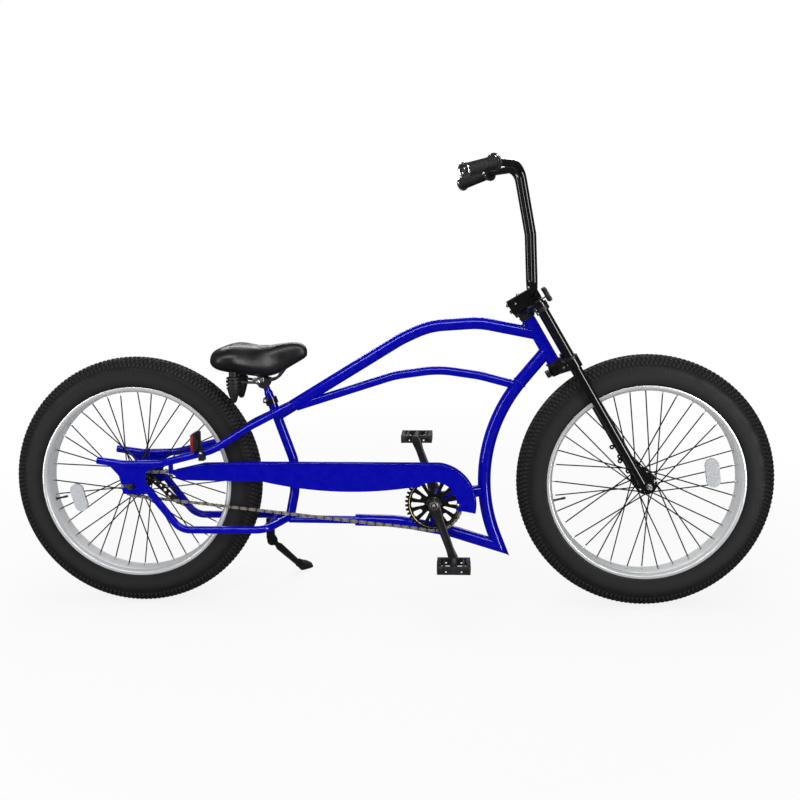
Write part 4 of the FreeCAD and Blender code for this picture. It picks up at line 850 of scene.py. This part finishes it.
def crank_bolts():
    """The bolts that hold the crank arms on the spindle, each in a thin bright ring."""
    shape = Shape(CRANK)
    ring = [(0, 12.5), (1.2, 12.5), (1.6, 11.6), (1.6, 9.4), (0.2, 9.4)]
    for side, way in ((-1, TO_RIGHT), (1, TO_LEFT)):
        shape.lathe(ring, (0.0, side * 96.6, 0.0), way, 40)
        shape.hexagon((0.0, side * 96.8, 0.0), way, 13.0, 3.4, 1.2)
    return shape


def pedal_shapes(angle_deg, side):
    """A moulded platform pedal: two tread blocks with raised bars, end plates with windows, a round
    barrel, and an amber reflector let into each tread block."""
    centre = round_axle(ARM_L, math.radians(angle_deg), 0.0)
    body, lenses = Shape(CRANK), Shape(CRANK)
    y_mid, y_len = side * 152.0, 96.0
    body.rod(centre + (0, side * 104.0, 0), centre + (0, side * 200.0, 0), 10.8, 24, 1.0)
    for way in (-1, 1):
        body.block((13.0, y_len, 24.0), centre + (way * 41.0, y_mid, 0), 2.0)
        body.block((8.0, y_len - 6, 19.0), centre + (way * 28.0, y_mid, 0), 1.5)
        for k in range(9):
            body.block((9.0, 4.2, 24.8), centre + (way * 40.0, y_mid + (k - 4) * 10.5, 0), 1.0, 2)
        lenses.block((2.2, 62.0, 13.5), centre + (way * 47.2, y_mid, 0), 0.8, 2)
    windows = [box_outline(way * 25.0, -4.0, 12.0, 6.5, 2.0) for way in (-1, 1)]
    for y in (side * 108.0, side * 196.0):
        body.plate(box_outline(0.0, 0.0, 92.0, 22.0, 3.0), y - 3.5, y + 3.5, windows, 0.8, centre)
    return body, lenses


def box_outline(x, z, width, height, corner):
    """A rectangle's outline with round corners."""
    reach_x, reach_z = width / 2 - corner, height / 2 - corner
    spots = [(1, 1, 0), (-1, 1, 90), (-1, -1, 180), (1, -1, 270)]
    return np.concatenate([arc(corner, start, start + 90, 5, x + sx * reach_x, z + sz * reach_z)
                           for sx, sz, start in spots])


def cog_shape():
    """The rear cog: a toothed plate and the round boss that it turns on."""
    shape = Shape()
    shape.plate(toothed_outline(COG_TEETH), CHAIN_Y - 1.3, CHAIN_Y + 1.3, [arc(14.0, 0, 350, 36)], 0.4)
    boss = [(-11.0, 11.0), (-11.0, 17.5), (-9.5, 19.0), (1.2, 19.0), (1.2, 11.0)]
    return shape.lathe(boss, (0, CHAIN_Y, 0), sides=40, closed=True)


def valve_shape(end):
    """A rubber valve stem with its knurled cap, standing in from the rim towards the axle."""
    shape = Shape(WHEELS[end])
    inward = -round_axle(1.0, VALVE_TURN, 0.0)
    profile = [(-1, 5.0), (2, 4.6), (5, 3.2), (24, 3.0), (25, 3.7), (36, 3.5), (37.5, 2.2)]
    return shape.lathe(profile, -inward * RIM_INNER_R, inward, 16)


# Frame details
GUARD_FACE_Y = -74.0
GUARD_LINE = [(132.0, 39.0), (216.0, 59.0), (355.0, 62.0), (600.0, 64.5)]
GUARD_LINE_R = 117.0
TUBE_ENDS = {                    # a joint's middle, the way its tube leaves, the tube's radius
    "top_at_head": ((1146.0, 0.0, 459.5), (-126.0, 0.0, 6.5), 17.5),
    "down_at_head": ((1136.5, 0.0, 291.5), (-0.64, 0.0, -0.77), 19.0),
    "mid_at_down": ((1107.0, 0.0, 287.5), (-87.0, 0.0, 24.5), 12.5),
    "seat_foot": ((454.0, 0.0, -108.0), (19.0, 0.0, 91.0), 14.3),
    "post_top": ((403.5, 0.0, 244.0), (66.0, 0.0, -189.0), 14.3),
}
WELD_R, WELD_DROPS = 2.3, 40
FRAME_BOLTS = [                  # a head's middle and its radius, all on the rider's right
    ((116.0, -76.5, 32.0), 5.0),
    ((956.0, GUARD_FACE_Y, -58.0), 4.5),
    ((103.0, -80.0, 44.0), 4.0),
    ((371.6, -27.0, 298.0), 6.0),
    ((389.0, -18.0, 241.0), 4.5),
    ((384.0, -14.0, -137.0), 5.5),
]
BUMPER_PROFILE = [
    (0, 4), (0.8, 6), (6, 9), (24, 14.6), (40, 18.6), (42, 20.4), (45, 20.4), (46, 16), (48.5, 16),
    (49.5, 21), (55, 21), (56, 17), (59, 17), (60, 21.4), (66, 21.4), (67, 17), (70, 17), (71, 21),
    (74.5, 20), (77, 13), (108, 13),
]


def weld_rings():
    """Each weld is a closed tube round the end of a frame tube whose radius ripples like a row of
    overlapping drops: the tube's radius plus half a millimetre times the cosine of forty turns."""
    shape = Shape()
    t = turns(160)
    for middle, way, radius in TUBE_ENDS.values():
        way = unit(way)
        side = unit(np.cross(way, TO_LEFT))
        other = np.cross(side, way)
        reach = (radius + 0.5 * np.cos(WELD_DROPS * t))[:, None]
        path = np.asarray(middle) + reach * (np.cos(t)[:, None] * side + np.sin(t)[:, None] * other)
        shape.tube(path, WELD_R, 8, closed=True, up=way)
    return shape


def guard_trim():
    """The raised line pressed along the chain guard's outer edge."""
    rear = smooth_line(GUARD_LINE, 6)
    front = arc(GUARD_LINE_R, 96, -8, 40, BB_X, BB_Z)
    line = np.concatenate([rear, front])
    return Shape().tube(np.insert(line, 1, GUARD_FACE_Y - 0.2, axis=1), 2.4, 12)


def frame_bolts():
    """Bolt heads of the guard, the seat clamp, the collar, the stand and the brake arm's strap, and the
    clamp's two side plates."""
    shape = Shape()
    for at, radius in FRAME_BOLTS:
        shape.round_head(at, TO_RIGHT, radius, 5.0)
    for side in (-1, 1):
        shape.block((33.0, 3.2, 15.0), (373.0, side * 25.4, 303.0), 1.2)
    return shape.round_head((371.6, 27.0, 298.0), TO_LEFT, 6.0, 5.0)


def seat_ears():
    """The collar's two ears and the clamp's cap."""
    shape = Shape()
    for side in (-1, 1):
        shape.block((16.0, 7.0, 16.0), (391.0, side * 12.0, 241.0), 1.6)
    return shape.block((15.0, 26.0, 13.0), (399.0, 0.0, 303.0), 3.0)


def bumper_shape():
    """Two rubber bumpers turned from one profile: a stack of rings over a long cone."""
    shape = Shape()
    for side in (-1, 1):
        shape.lathe(BUMPER_PROFILE, (305.0, side * 55.0, 241.0), UPWARD, 40)
    return shape


def stand_shoe_shape():
    """A ribbed wedge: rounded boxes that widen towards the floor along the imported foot's long axis,
    cut level where they meet the floor."""
    own = UPRIGHT.read(points_of(frame["nodes"]["stand_foot"].data))
    middle = (own.min(0) + own.max(0)) / 2
    along = np.linalg.svd(own - own.mean(0), full_matrices=False)[2][0]
    along = along * -np.sign(along[2])
    reach = (own - middle) @ along
    rows = np.linspace(reach.min(), reach.max() + 3.0, 50)
    grow = (rows - rows[0]) / (rows[-1] - rows[0])
    half_w = 11.5 + 5.5 * soft_step(0.1, 0.6, grow) + 0.6 * np.cos(rows * FULL_TURN / 7.5)
    half_d = 11.5 + 2.5 * grow
    flat = unit(np.cross(along, TO_LEFT))
    deep = np.cross(flat, along)
    u, v = box_section(turns(40), 0.6, 0.6)
    rings = (middle + rows[:, None, None] * along + (half_w[:, None] * u)[..., None] * flat
             + (half_d[:, None] * v)[..., None] * deep)
    return Shape().rings(rings).above_floor()


def rear_reflector_shapes():
    """A finned housing with a slanting back, the red lens let into its rear face, and its screw."""
    housing = Shape()
    outline = [(192.5, 107.0), (199.5, 107.0), (205.5, 118.0), (205.0, 138.0), (199.0, 151.0),
               (195.0, 157.0), (192.5, 157.0)]
    housing.plate(outline, -116.0, -68.0, (), 1.5)
    for k in range(5):
        housing.block((4.0, 46.0, 2.4), (204.5, -92.0, 114.0 + 7.0 * k), 0.8, 2)
    red = Shape().block((9.0, 48.5, 48.0), (190.3, -92.0, 132.0), 1.6)
    return housing, red, Shape().round_head((213.0, -106.5, 100.0), TO_RIGHT, 4.0, 4.5)


# Cockpit
BAR_GRIP_START = np.array([1058.0, 180.0, 906.0])
BAR_GRIP_END = np.array([976.0, 268.0, 879.0])
GRIP_L = float(np.linalg.norm(BAR_GRIP_END - BAR_GRIP_START))
COLLAR_PROFILE = [(4, 13), (4, 23.2), (4.8, 24.2), (8.2, 24.2), (9, 23.2), (9, 20.5), (10.6, 20.5),
                  (11.2, 21.6), (14, 21.6), (14.5, 20.6), (14.5, 13)]
CAP_PROFILE = [(-1.0, 16.0), (0.0, 20.4), (1.0, 21.0), (5.5, 21.0), (7.6, 19.6), (8.0, 17.6),
               (7.4, 15.4), (4.4, 14.6), (4.4, 8.6), (7.0, 8.0), (8.0, 6.4), (8.2, 1.0)]
LEG_X, LEG_Y = 46.0, 73.0


def grip_shapes():
    """Each grip is a sleeve whose radius ripples along it, two black collars with plated edges at its
    root, and a plated cap whose round trough is lined in black."""
    sleeve, collars, plated, lining = Shape(), Shape(), Shape(), Shape()
    h = np.linspace(14.5, GRIP_L - 0.5, 90)
    ripple = 16.7 + 0.8 * np.cos(h * FULL_TURN / 5.2)
    for side in (-1, 1):
        mirror = np.array([1.0, side, 1.0])
        start = BAR_GRIP_START * mirror
        out = unit((BAR_GRIP_END - BAR_GRIP_START) * mirror)
        sleeve.lathe(np.stack([h, ripple], 1), start, out, 40)
        collars.lathe(COLLAR_PROFILE, start, out)
        for height, radius in ((4.7, 24.1), (8.4, 24.1), (13.8, 21.6)):
            ring = lathe_rings([(height, radius)], start, out, 64)[0]
            plated.tube(ring, 0.75, 8, closed=True, up=out)
        end = start + out * GRIP_L
        plated.lathe(CAP_PROFILE, end, out)
        lining.lathe([(4.3, 9.0), (4.3, 14.2), (4.9, 14.2), (4.9, 9.0)], end, out, closed=True)
    return sleeve, collars, plated, lining


def crown_trim():
    """Clamp rings round the legs, ribs under the upper crown and caps on the legs."""
    shape = Shape(STEERING)
    lower_ring = [(428, 13.2), (428, 18.6), (429, 19.4), (436, 19.4), (437.5, 17.0), (437.5, 13.2)]
    upper_ring = [(586, 13.2), (587, 17.4), (588, 18.6), (600, 18.6), (600, 13.2)]
    ribs = [(585, 19), (585, 22.6), (588, 22.6), (588.6, 20.8), (589.4, 20.8), (590, 24), (593.6, 24),
            (594.2, 20.8), (595, 20.8), (595.6, 22.6), (599.6, 22.6), (599.6, 19)]
    for side in (-1, 1):
        leg = (LEG_X, side * LEG_Y, 0.0)
        shape.lathe(lower_ring, leg, UPWARD, 40, closed=True)
        shape.lathe(upper_ring, leg, UPWARD, 40, closed=True)
        shape.lathe([(617, 12.6), (619, 12.6), (621.5, 10), (622, 3)], leg, UPWARD, 32)
        shape.block((9.0, 9.0, 24.0), (27.0, side * LEG_Y, 594.0), 1.4)
    for ring in (ribs, [(436, 19.0), (436, 24), (439.4, 24), (439.8, 19.0)]):
        shape.lathe(ring, (0.0, 0.0, 0.0), UPWARD, closed=True)
    shape.block((14.0, 30.0, 20.0), (-30.0, 0.0, 414.0), 3.0)
    return shape.block((22.0, 32.0, 12.0), (-19.0, 0.0, 608.0), 2.0)


def fork_bolts():
    """Hexagon and socket heads of the stem, the crowns and the leg clamps."""
    shape = Shape(STEERING)
    for height in (624.0, 645.0):
        for y in (-11.0, 11.0):
            shape.hexagon((-32.0, y, height), (-1.0, 0.0, 0.0), 8.0, 5.0, 1.5)
    for way, side in ((TO_RIGHT, -1), (TO_LEFT, 1)):
        shape.round_head((16.0, side * 53.0, 414.0), (-0.846, side * 0.533, 0.0), 4.2, 5.0)
        shape.round_head((-12.0, side * 21.0, 640.0), way, 2.6, 3.5)
        for height in (600.0, 589.0):
            shape.round_head((27.0, side * 77.5, height), way, 3.2, 4.0)
    for x in (6.0, 44.0, 62.0):
        for y in (-15.0, 15.0):
            shape.hexagon((x, y, 656.0), UPWARD, 7.0, 4.5, 1.0)
    return shape


def front_reflector_shapes():
    """A waisted housing and the clear lens let into its front."""
    housing = Shape(STEERING)
    for height in (633.0, 602.0):
        housing.block((12.0, 55.0, 11.0), (79.0, 0.0, height), 2.0)
    housing.block((8.0, 44.0, 26.0), (77.0, 0.0, 617.6), 2.0)
    return housing, Shape(STEERING).block((3.0, 51.0, 33.0), (84.8, 0.0, 617.6), 1.2)


# Saddle
SADDLE_SECTIONS = np.array([     # x, half width, top, bottom
    (236.0, 44.0, 371.0, 352.0),
    (243.0, 74.0, 389.0, 342.0),
    (262.0, 99.0, 401.0, 333.0),
    (290.0, 107.0, 409.0, 327.0),
    (315.0, 104.0, 411.0, 324.0),
    (345.0, 88.0, 406.0, 318.0),
    (375.0, 68.0, 400.0, 314.0),
    (405.0, 49.0, 400.0, 315.0),
    (435.0, 36.0, 406.0, 325.0),
    (465.0, 29.0, 411.0, 342.0),
    (492.0, 25.0, 411.0, 357.0),
    (509.0, 18.0, 402.0, 367.0),
    (515.0, 9.0, 391.0, 374.0),
])


def saddle_shape():
    """Sections along X whose half width, top and bottom are smooth curves. Each is a rounded box that
    is fuller above than below, and dished a little along the middle at the tail."""
    sections = smooth_line(SADDLE_SECTIONS, 5)
    x, half_w, top, bottom = (sections[:, k][:, None] for k in range(4))
    middle = bottom + (top - bottom) * 0.45
    u, v = box_section(turns(56), 0.72, 0.8)
    pull = 1 - 0.16 * np.clip(-v, 0, 1) ** 1.5
    y = half_w * u * pull
    z = middle + np.where(v > 0, (top - middle) * v, (middle - bottom) * v)
    z = z - 5.0 * np.exp(-(y / 30) ** 2) * (v > 0) * np.exp(-((x - 300) / 60) ** 2)
    return Shape().rings(np.stack([np.broadcast_to(x, y.shape), y, z], axis=-1))


def puffed(made, voxel, pressure, cap):
    """Inflates a pad: a copy is remeshed and run as cloth under pressure, and no point may end
    further than the cap from where it began."""
    scene = bpy.context.scene
    steps = 20
    remesh = made.modifiers.new("remesh", "REMESH")
    remesh.mode = "VOXEL"
    remesh.voxel_size = voxel
    apply_modifiers(made)
    start = points_of(made.data)
    cloth = made.modifiers.new("cloth", "CLOTH")
    cloth.settings.use_pressure = True
    cloth.settings.uniform_pressure_force = pressure
    cloth.settings.effector_weights.gravity = 0.0
    cloth.settings.quality = 6
    cloth.settings.mass = 0.4
    cloth.settings.tension_stiffness = 30
    cloth.settings.compression_stiffness = 30
    cloth.point_cache.frame_start = 1
    cloth.point_cache.frame_end = steps
    for step in range(1, steps + 1):
        scene.frame_set(step)
    apply_modifiers(made)
    scene.frame_set(1)
    ended = points_of(made.data)
    move = ended - start
    far = np.linalg.norm(move, axis=1, keepdims=True)
    ended = start + move * np.minimum(1.0, cap / np.maximum(far, 1e-9))
    made.data.vertices.foreach_set("co", ended.ravel())
    made.data.update()


def points_of(mesh):
    flat = np.zeros(len(mesh.vertices) * 3)
    mesh.vertices.foreach_get("co", flat)
    return flat.reshape(-1, 3)


def apply_modifiers(made):
    """Bakes the live modifiers into the object's own mesh."""
    view = bpy.context.evaluated_depsgraph_get()
    baked = bpy.data.meshes.new_from_object(made.evaluated_get(view))
    made.modifiers.clear()
    made.data = baked


# Settings
def colour_setting(name, description, default):
    return FloatVectorProperty(name=name, description=description, default=default, min=0, max=1,
                               subtype="COLOR")


class ChopperPaint(bpy.types.PropertyGroup):
    """The colours that a user would change, as linear light."""

    paint: colour_setting("Frame paint", "Colour of the frame and chain guard", (0.0, 0.0005, 0.48))
    black: colour_setting("Black paint", "Colour of the fork, bars and crowns", (0.006, 0.006, 0.0065))
    rubber: colour_setting("Tyre rubber", "Colour of the tread", (0.011, 0.011, 0.0112))
    alloy: colour_setting("Rim alloy", "Colour of the rims", (0.9, 0.92, 0.935))
    vinyl: colour_setting("Saddle vinyl", "Colour of the saddle's cover", (0.009, 0.009, 0.0095))


class ChopperTyres(bpy.types.PropertyGroup):
    """The tread's sizes."""

    knobs: IntProperty(name="Knobs", description="Knobs round the tyre in one row", default=172,
                       min=60, max=240)
    knob_height: FloatProperty(name="Knob height", description="Height of a knob in millimetres",
                               default=3.8, min=0, max=6)
    tread_angle: FloatProperty(name="Tread angle", default=64.0, min=30, max=85,
                               description="Half the section's angle that the tread covers, in degrees")


class ChopperSaddle(bpy.types.PropertyGroup):
    """How the saddle's pad is made."""

    voxel: FloatProperty(name="Voxel", description="Size of the remesh", default=0.005, unit="LENGTH")
    pressure: FloatProperty(name="Pressure", description="Pressure inside the pad while it is inflated",
                            default=2.0)
    cap: FloatProperty(name="Cap", description="The furthest that a point may move", default=0.006,
                       unit="LENGTH")


class ChopperStage(bpy.types.PropertyGroup):
    """The light and the camera."""

    world: FloatProperty(name="World", description="Level of the world's even light", default=0.45,
                         min=0)
    reflected: FloatProperty(name="Reflected", description="Level of the world and the floor in a gloss",
                             default=0.06, min=0)
    key: FloatProperty(name="Key", description="Power of the large soft lamp, in watts", default=62.0,
                       min=0)
    strip: FloatProperty(name="Strips", default=80.0, min=0,
                         description="Power of each lamp that only a gloss shows, in watts")
    lens: FloatProperty(name="Lens", description="Focal length in millimetres", default=46.68, min=10)


class CHOPPER_OT_finishes(bpy.types.Operator):
    """Makes every finish and gives each carried-over CAD node its own"""

    bl_idname = "chopper.finishes"
    bl_label = "Finishes"

    def execute(self, context):
        make_finishes(context.scene.chopper_paint)
        for name, node in frame["nodes"].items():
            finish = CARRIED_OVER.get(name) or slot_of(node)
            node.data.materials.clear()
            node.data.materials.append(FINISHES[finish])
        return {"FINISHED"}


def slot_of(node):
    """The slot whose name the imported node's own material carries."""
    held = [slot.material.name for slot in node.material_slots if slot.material]
    for entry in frame["record"]["materials"]:
        if any(entry["slot"] in name for name in held):
            return entry["slot"]
    raise ValueError(f"{node.name} has no slot: {held}")


class CHOPPER_OT_wheels(bpy.types.Operator):
    """Makes the tyres, rims, hubs, spokes, nipples and valves"""

    bl_idname = "chopper.wheels"
    bl_label = "Wheels"

    def execute(self, context):
        for end in WHEELS:
            body = end + "_wheel"
            piece(end + "_tyre_tread", tyre_shape(end, context.scene.chopper_tyres), body, "tyre_rubber",
                  crease=60.0, replaces=end + "_tyre")
            piece(end + "_rim_hoop", rim_shape(end), body, "rim_alloy", crease=50.0,
                  replaces=end + "_rim")
            piece(end + "_hub", hub_shape(end), body, "black_metal", replaces=end + "_spoked_hub")
            piece(end + "_spokes", spokes_shape(end), body, "spoke_black", crease=60.0)
            piece(end + "_nipples", nipples_shape(end), body, "bright_steel")
            piece(end + "_valve", valve_shape(end), body, "black_plastic")
        return {"FINISHED"}


class CHOPPER_OT_drive(bpy.types.Operator):
    """Makes the chain, chainring, crank arms and pedals"""

    bl_idname = "chopper.drive"
    bl_label = "Drive"

    def execute(self, context):
        bright, dark = chain_shapes()
        piece("chain_plates", bright, "frame", "chain_steel", replaces="chain")
        piece("chain_rollers", dark, "frame", "dark_steel")
        piece("chainring_plate", chainring_shape(), "crank", "black_metal", replaces="chainring")
        piece("chainring_edge", ring_edge_shape(), "crank", "brass")
        piece("crank_bolt_heads", crank_bolts(), "crank", "bright_steel")
        for name, angle, side in (("right", ARM_ANGLE, -1), ("left", ARM_ANGLE + 180, 1)):
            piece("crank_forging_" + name, crank_arm_shape(angle, side), "crank", "satin_black",
                  replaces="crank_arm_" + name)
            body, lenses = pedal_shapes(angle, side)
            pedal = "pedal_" + name
            piece("pedal_body_" + name, body, pedal, "black_plastic", replaces=pedal)
            piece("pedal_lenses_" + name, lenses, pedal, "amber_lens")
        return {"FINISHED"}


class CHOPPER_OT_frame_details(bpy.types.Operator):
    """Makes the welds, the guard's line, bolts, cog, bumpers, the stand's shoe and the rear reflector"""

    bl_idname = "chopper.frame_details"
    bl_label = "Frame details"

    def execute(self, context):
        housing, red, screw = rear_reflector_shapes()
        piece("frame_welds", weld_rings(), "frame", "frame_paint", crease=60.0)
        piece("guard_line", guard_trim(), "frame", "frame_paint", crease=60.0)
        piece("frame_bolt_heads", frame_bolts(), "frame", "bright_steel")
        piece("seat_clamp_ears", seat_ears(), "frame", "satin_black")
        piece("rear_cog_teeth", cog_shape(), "frame", "dark_steel", replaces="rear_cog")
        piece("saddle_bumpers", bumper_shape(), "frame", "black_plastic", crease=24.0,
              replaces="saddle_springs")
        piece("stand_shoe", stand_shoe_shape(), "stand", "foot_rubber", replaces="stand_foot")
        piece("rear_reflector_housing", housing, "frame", "black_plastic", replaces="rear_reflector")
        piece("rear_reflector_lens", red, "frame", "red_lens")
        piece("rear_reflector_screw", screw, "frame", "bright_steel")
        return {"FINISHED"}


class CHOPPER_OT_cockpit(bpy.types.Operator):
    """Makes the grips, the crowns' trim and bolts, and the front reflector"""

    bl_idname = "chopper.cockpit"
    bl_label = "Cockpit"

    def execute(self, context):
        sleeve, collars, plated, lining = grip_shapes()
        housing, clear = front_reflector_shapes()
        piece("grip_sleeves", sleeve, "fork", "grip_rubber", crease=60.0, replaces="grips")
        piece("grip_collars", collars, "fork", "black_plastic", replaces="grip_rings")
        piece("grip_plated_edges", plated, "fork", "chrome", crease=24.0)
        piece("grip_cap_linings", lining, "fork", "black_plastic")
        piece("crown_trim", crown_trim(), "fork", "satin_black", crease=24.0)
        piece("fork_bolt_heads", fork_bolts(), "fork", "bright_steel")
        piece("front_reflector_housing", housing, "fork", "black_plastic", replaces="front_reflector")
        piece("front_reflector_lens", clear, "fork", "clear_lens")
        return {"FINISHED"}


class CHOPPER_OT_saddle(bpy.types.Operator):
    """Makes the padded saddle"""

    bl_idname = "chopper.saddle"
    bl_label = "Saddle"

    def execute(self, context):
        pad = context.scene.chopper_saddle
        no_crease = 180.0
        made = piece("saddle_pad", saddle_shape(), "frame", "saddle_cover", crease=no_crease,
                     replaces="saddle")
        puffed(made, pad.voxel, pad.pressure, pad.cap)
        made.data.materials.clear()
        made.data.materials.append(FINISHES["saddle_cover"])
        crease_edges(made.data, no_crease)
        finer = made.modifiers.new("finer", "SUBSURF")
        finer.levels = 1
        finer.render_levels = 1
        return {"FINISHED"}


CAMERA_AT = (942.6, -3017.6, 664.4)          # in the upright bicycle's frame, millimetres
CAMERA_TURN = (82.0408, 0.6211, 3.4805)      # degrees about that frame's X, Y and Z
CAMERA_SHIFT = (0.01375, -0.000625)
FLOOR_HALF = 30.0
FLOOR_GREYS = ((0.92, 0.92, 0.92), (0.95, 0.95, 0.95))
FLOOR_WHITE_FROM, FLOOR_WHITE_TO = 1.1, 2.0  # metres from the origin between which the floor whitens
WHITE = (1.0, 1.0, 1.0)


class CHOPPER_OT_stage(bpy.types.Operator):
    """Makes the floor, the world, the lamps and the camera"""

    bl_idname = "chopper.stage"
    bl_label = "Stage"

    def execute(self, context):
        scene, look = context.scene, context.scene.chopper_stage
        scene.view_settings.view_transform = "Standard"
        self.floor(scene, look)
        self.world(scene, look)
        self.lamps(scene, look)
        self.camera(scene, look)
        return {"FINISHED"}

    def floor(self, scene, look):
        """A large white sheet: the camera sees most of it as plain white, and a gloss sees it dim."""
        mesh = bpy.data.meshes.new("floor")
        corners = [(x * FLOOR_HALF, y * FLOOR_HALF, 0) for x, y in ((-1, -1), (1, -1), (1, 1), (-1, 1))]
        mesh.from_pydata(corners, [], [(0, 1, 2, 3)])
        finish = Finish("floor_white", Roughness=0.9, Specular_IOR_Level=0.0)
        finish.feed(Base_Color=finish.blend(*FLOOR_GREYS, finish.noise(40.0, 2.0)))
        away = finish.add("ShaderNodeVectorMath", {"operation": "LENGTH"}, {0: finish.place})
        share = finish.spread(away.outputs["Value"], FLOOR_WHITE_FROM, FLOOR_WHITE_TO, 0.86, 1.0)
        glow, dim = (finish.add("ShaderNodeEmission", {}, {"Color": WHITE, "Strength": strength})
                     for strength in (1.0, look.reflected))
        lit = finish.add("ShaderNodeMixShader", {}, {0: finish.ray("Is Glossy Ray"),
                                                     1: finish.shader.outputs[0], 2: dim.outputs[0]})
        mixed = finish.add("ShaderNodeMixShader", {}, {0: finish.seen_ray() * share, 1: lit.outputs[0],
                                                       2: glow.outputs[0]})
        finish.plug(finish.output.inputs["Surface"], mixed.outputs[0])
        mesh.materials.append(finish.material)
        floor = bpy.data.objects.new("floor", mesh)
        scene.collection.objects.link(floor)

    def world(self, scene, look):
        """White to the camera, dim in a gloss, and an even light on everything else."""
        scene.world = bpy.data.worlds.new("studio")
        scene.world.use_nodes = True
        nodes = Nodes(scene.world.node_tree)
        level = nodes.spread(nodes.seen_ray(), 0.0, 1.0, look.world, 1.0)
        level = nodes.spread(nodes.ray("Is Glossy Ray"), 0.0, 1.0, level, look.reflected)
        background = nodes.add("ShaderNodeBackground", {}, {"Color": WHITE, "Strength": level})
        nodes.add("ShaderNodeOutputWorld", {}, {"Surface": background.outputs[0]})

    def lamps(self, scene, look):
        """Two soft lamps that light the bicycle, and four strips that only its gloss shows."""
        for name, spot, aim, size, power in (
                ("key", (-1.6, -3.6, 3.4), (0, 0, 0.5), (2.4, 2.4), look.key),
                ("top", (0.2, 0.4, 4.0), (0, 0, 0), (3.0, 3.0), look.key * 0.8),
                ("strip_front", (2.4, -2.6, 1.35), (0.2, 0, 1.2), (0.7, 2.6), look.strip),
                ("strip_rear", (-2.8, -2.2, 1.35), (-0.2, 0, 1.2), (0.5, 2.6), look.strip * 0.5),
                ("strip_over", (0.0, -2.0, 3.2), (0.0, 0, 0.5), (4.4, 0.6), look.strip),
                ("strip_back", (0.0, 3.2, 2.4), (0.0, 0, 0.6), (4.0, 0.5), look.strip)):
            lamp = bpy.data.lights.new(name, "AREA")
            lamp.shape = "RECTANGLE"
            lamp.size, lamp.size_y = size
            lamp.energy = power
            held = bpy.data.objects.new(name, lamp)
            held.location = spot
            held.rotation_euler = (Vector(aim) - Vector(spot)).to_track_quat("-Z", "Y").to_euler()
            held.visible_glossy = name.startswith("strip")
            held.visible_diffuse = not held.visible_glossy
            scene.collection.objects.link(held)

    def camera(self, scene, look):
        data = bpy.data.cameras.new("camera")
        data.sensor_width = 36.0
        data.lens = look.lens
        data.shift_x, data.shift_y = CAMERA_SHIFT
        camera = bpy.data.objects.new("camera", data)
        turn = Euler([math.radians(angle) for angle in CAMERA_TURN]).to_matrix()
        lean = Matrix(UPRIGHT.axes.T.tolist())
        camera.matrix_world = Matrix.Translation(UPRIGHT.place(CAMERA_AT)) @ (lean @ turn).to_4x4()
        scene.collection.objects.link(camera)
        scene.camera = camera


OPERATORS = (CHOPPER_OT_stage, CHOPPER_OT_finishes, CHOPPER_OT_wheels, CHOPPER_OT_drive,
             CHOPPER_OT_frame_details, CHOPPER_OT_cockpit, CHOPPER_OT_saddle)
GROUPS = {"chopper_paint": ChopperPaint, "chopper_tyres": ChopperTyres, "chopper_saddle": ChopperSaddle,
          "chopper_stage": ChopperStage}


class CHOPPER_PT_build(bpy.types.Panel):
    """Lists the bicycle's settings and its operators in the order they run"""

    bl_label = "Chopper bicycle"
    bl_idname = "CHOPPER_PT_build"
    bl_space_type = "VIEW_3D"
    bl_region_type = "UI"
    bl_category = "Chopper"

    def draw(self, context):
        for name, group in GROUPS.items():
            box = self.layout.box()
            for key in group.__annotations__:
                box.prop(getattr(context.scene, name), key)
        for operator in OPERATORS:
            self.layout.operator(operator.bl_idname)


def register():
    for made in (*GROUPS.values(), *OPERATORS, CHOPPER_PT_build):
        bpy.utils.register_class(made)
    for name, group in GROUPS.items():
        setattr(bpy.types.Scene, name, PointerProperty(type=group))


def unregister():
    for name in GROUPS:
        delattr(bpy.types.Scene, name)
    for made in (CHOPPER_PT_build, *reversed(OPERATORS), *GROUPS.values()):
        bpy.utils.unregister_class(made)


def main():
    register()
    for operator in OPERATORS:
        area, name = operator.bl_idname.split(".")
        getattr(getattr(bpy.ops, area), name)()


if __name__ == "__main__":
    main()
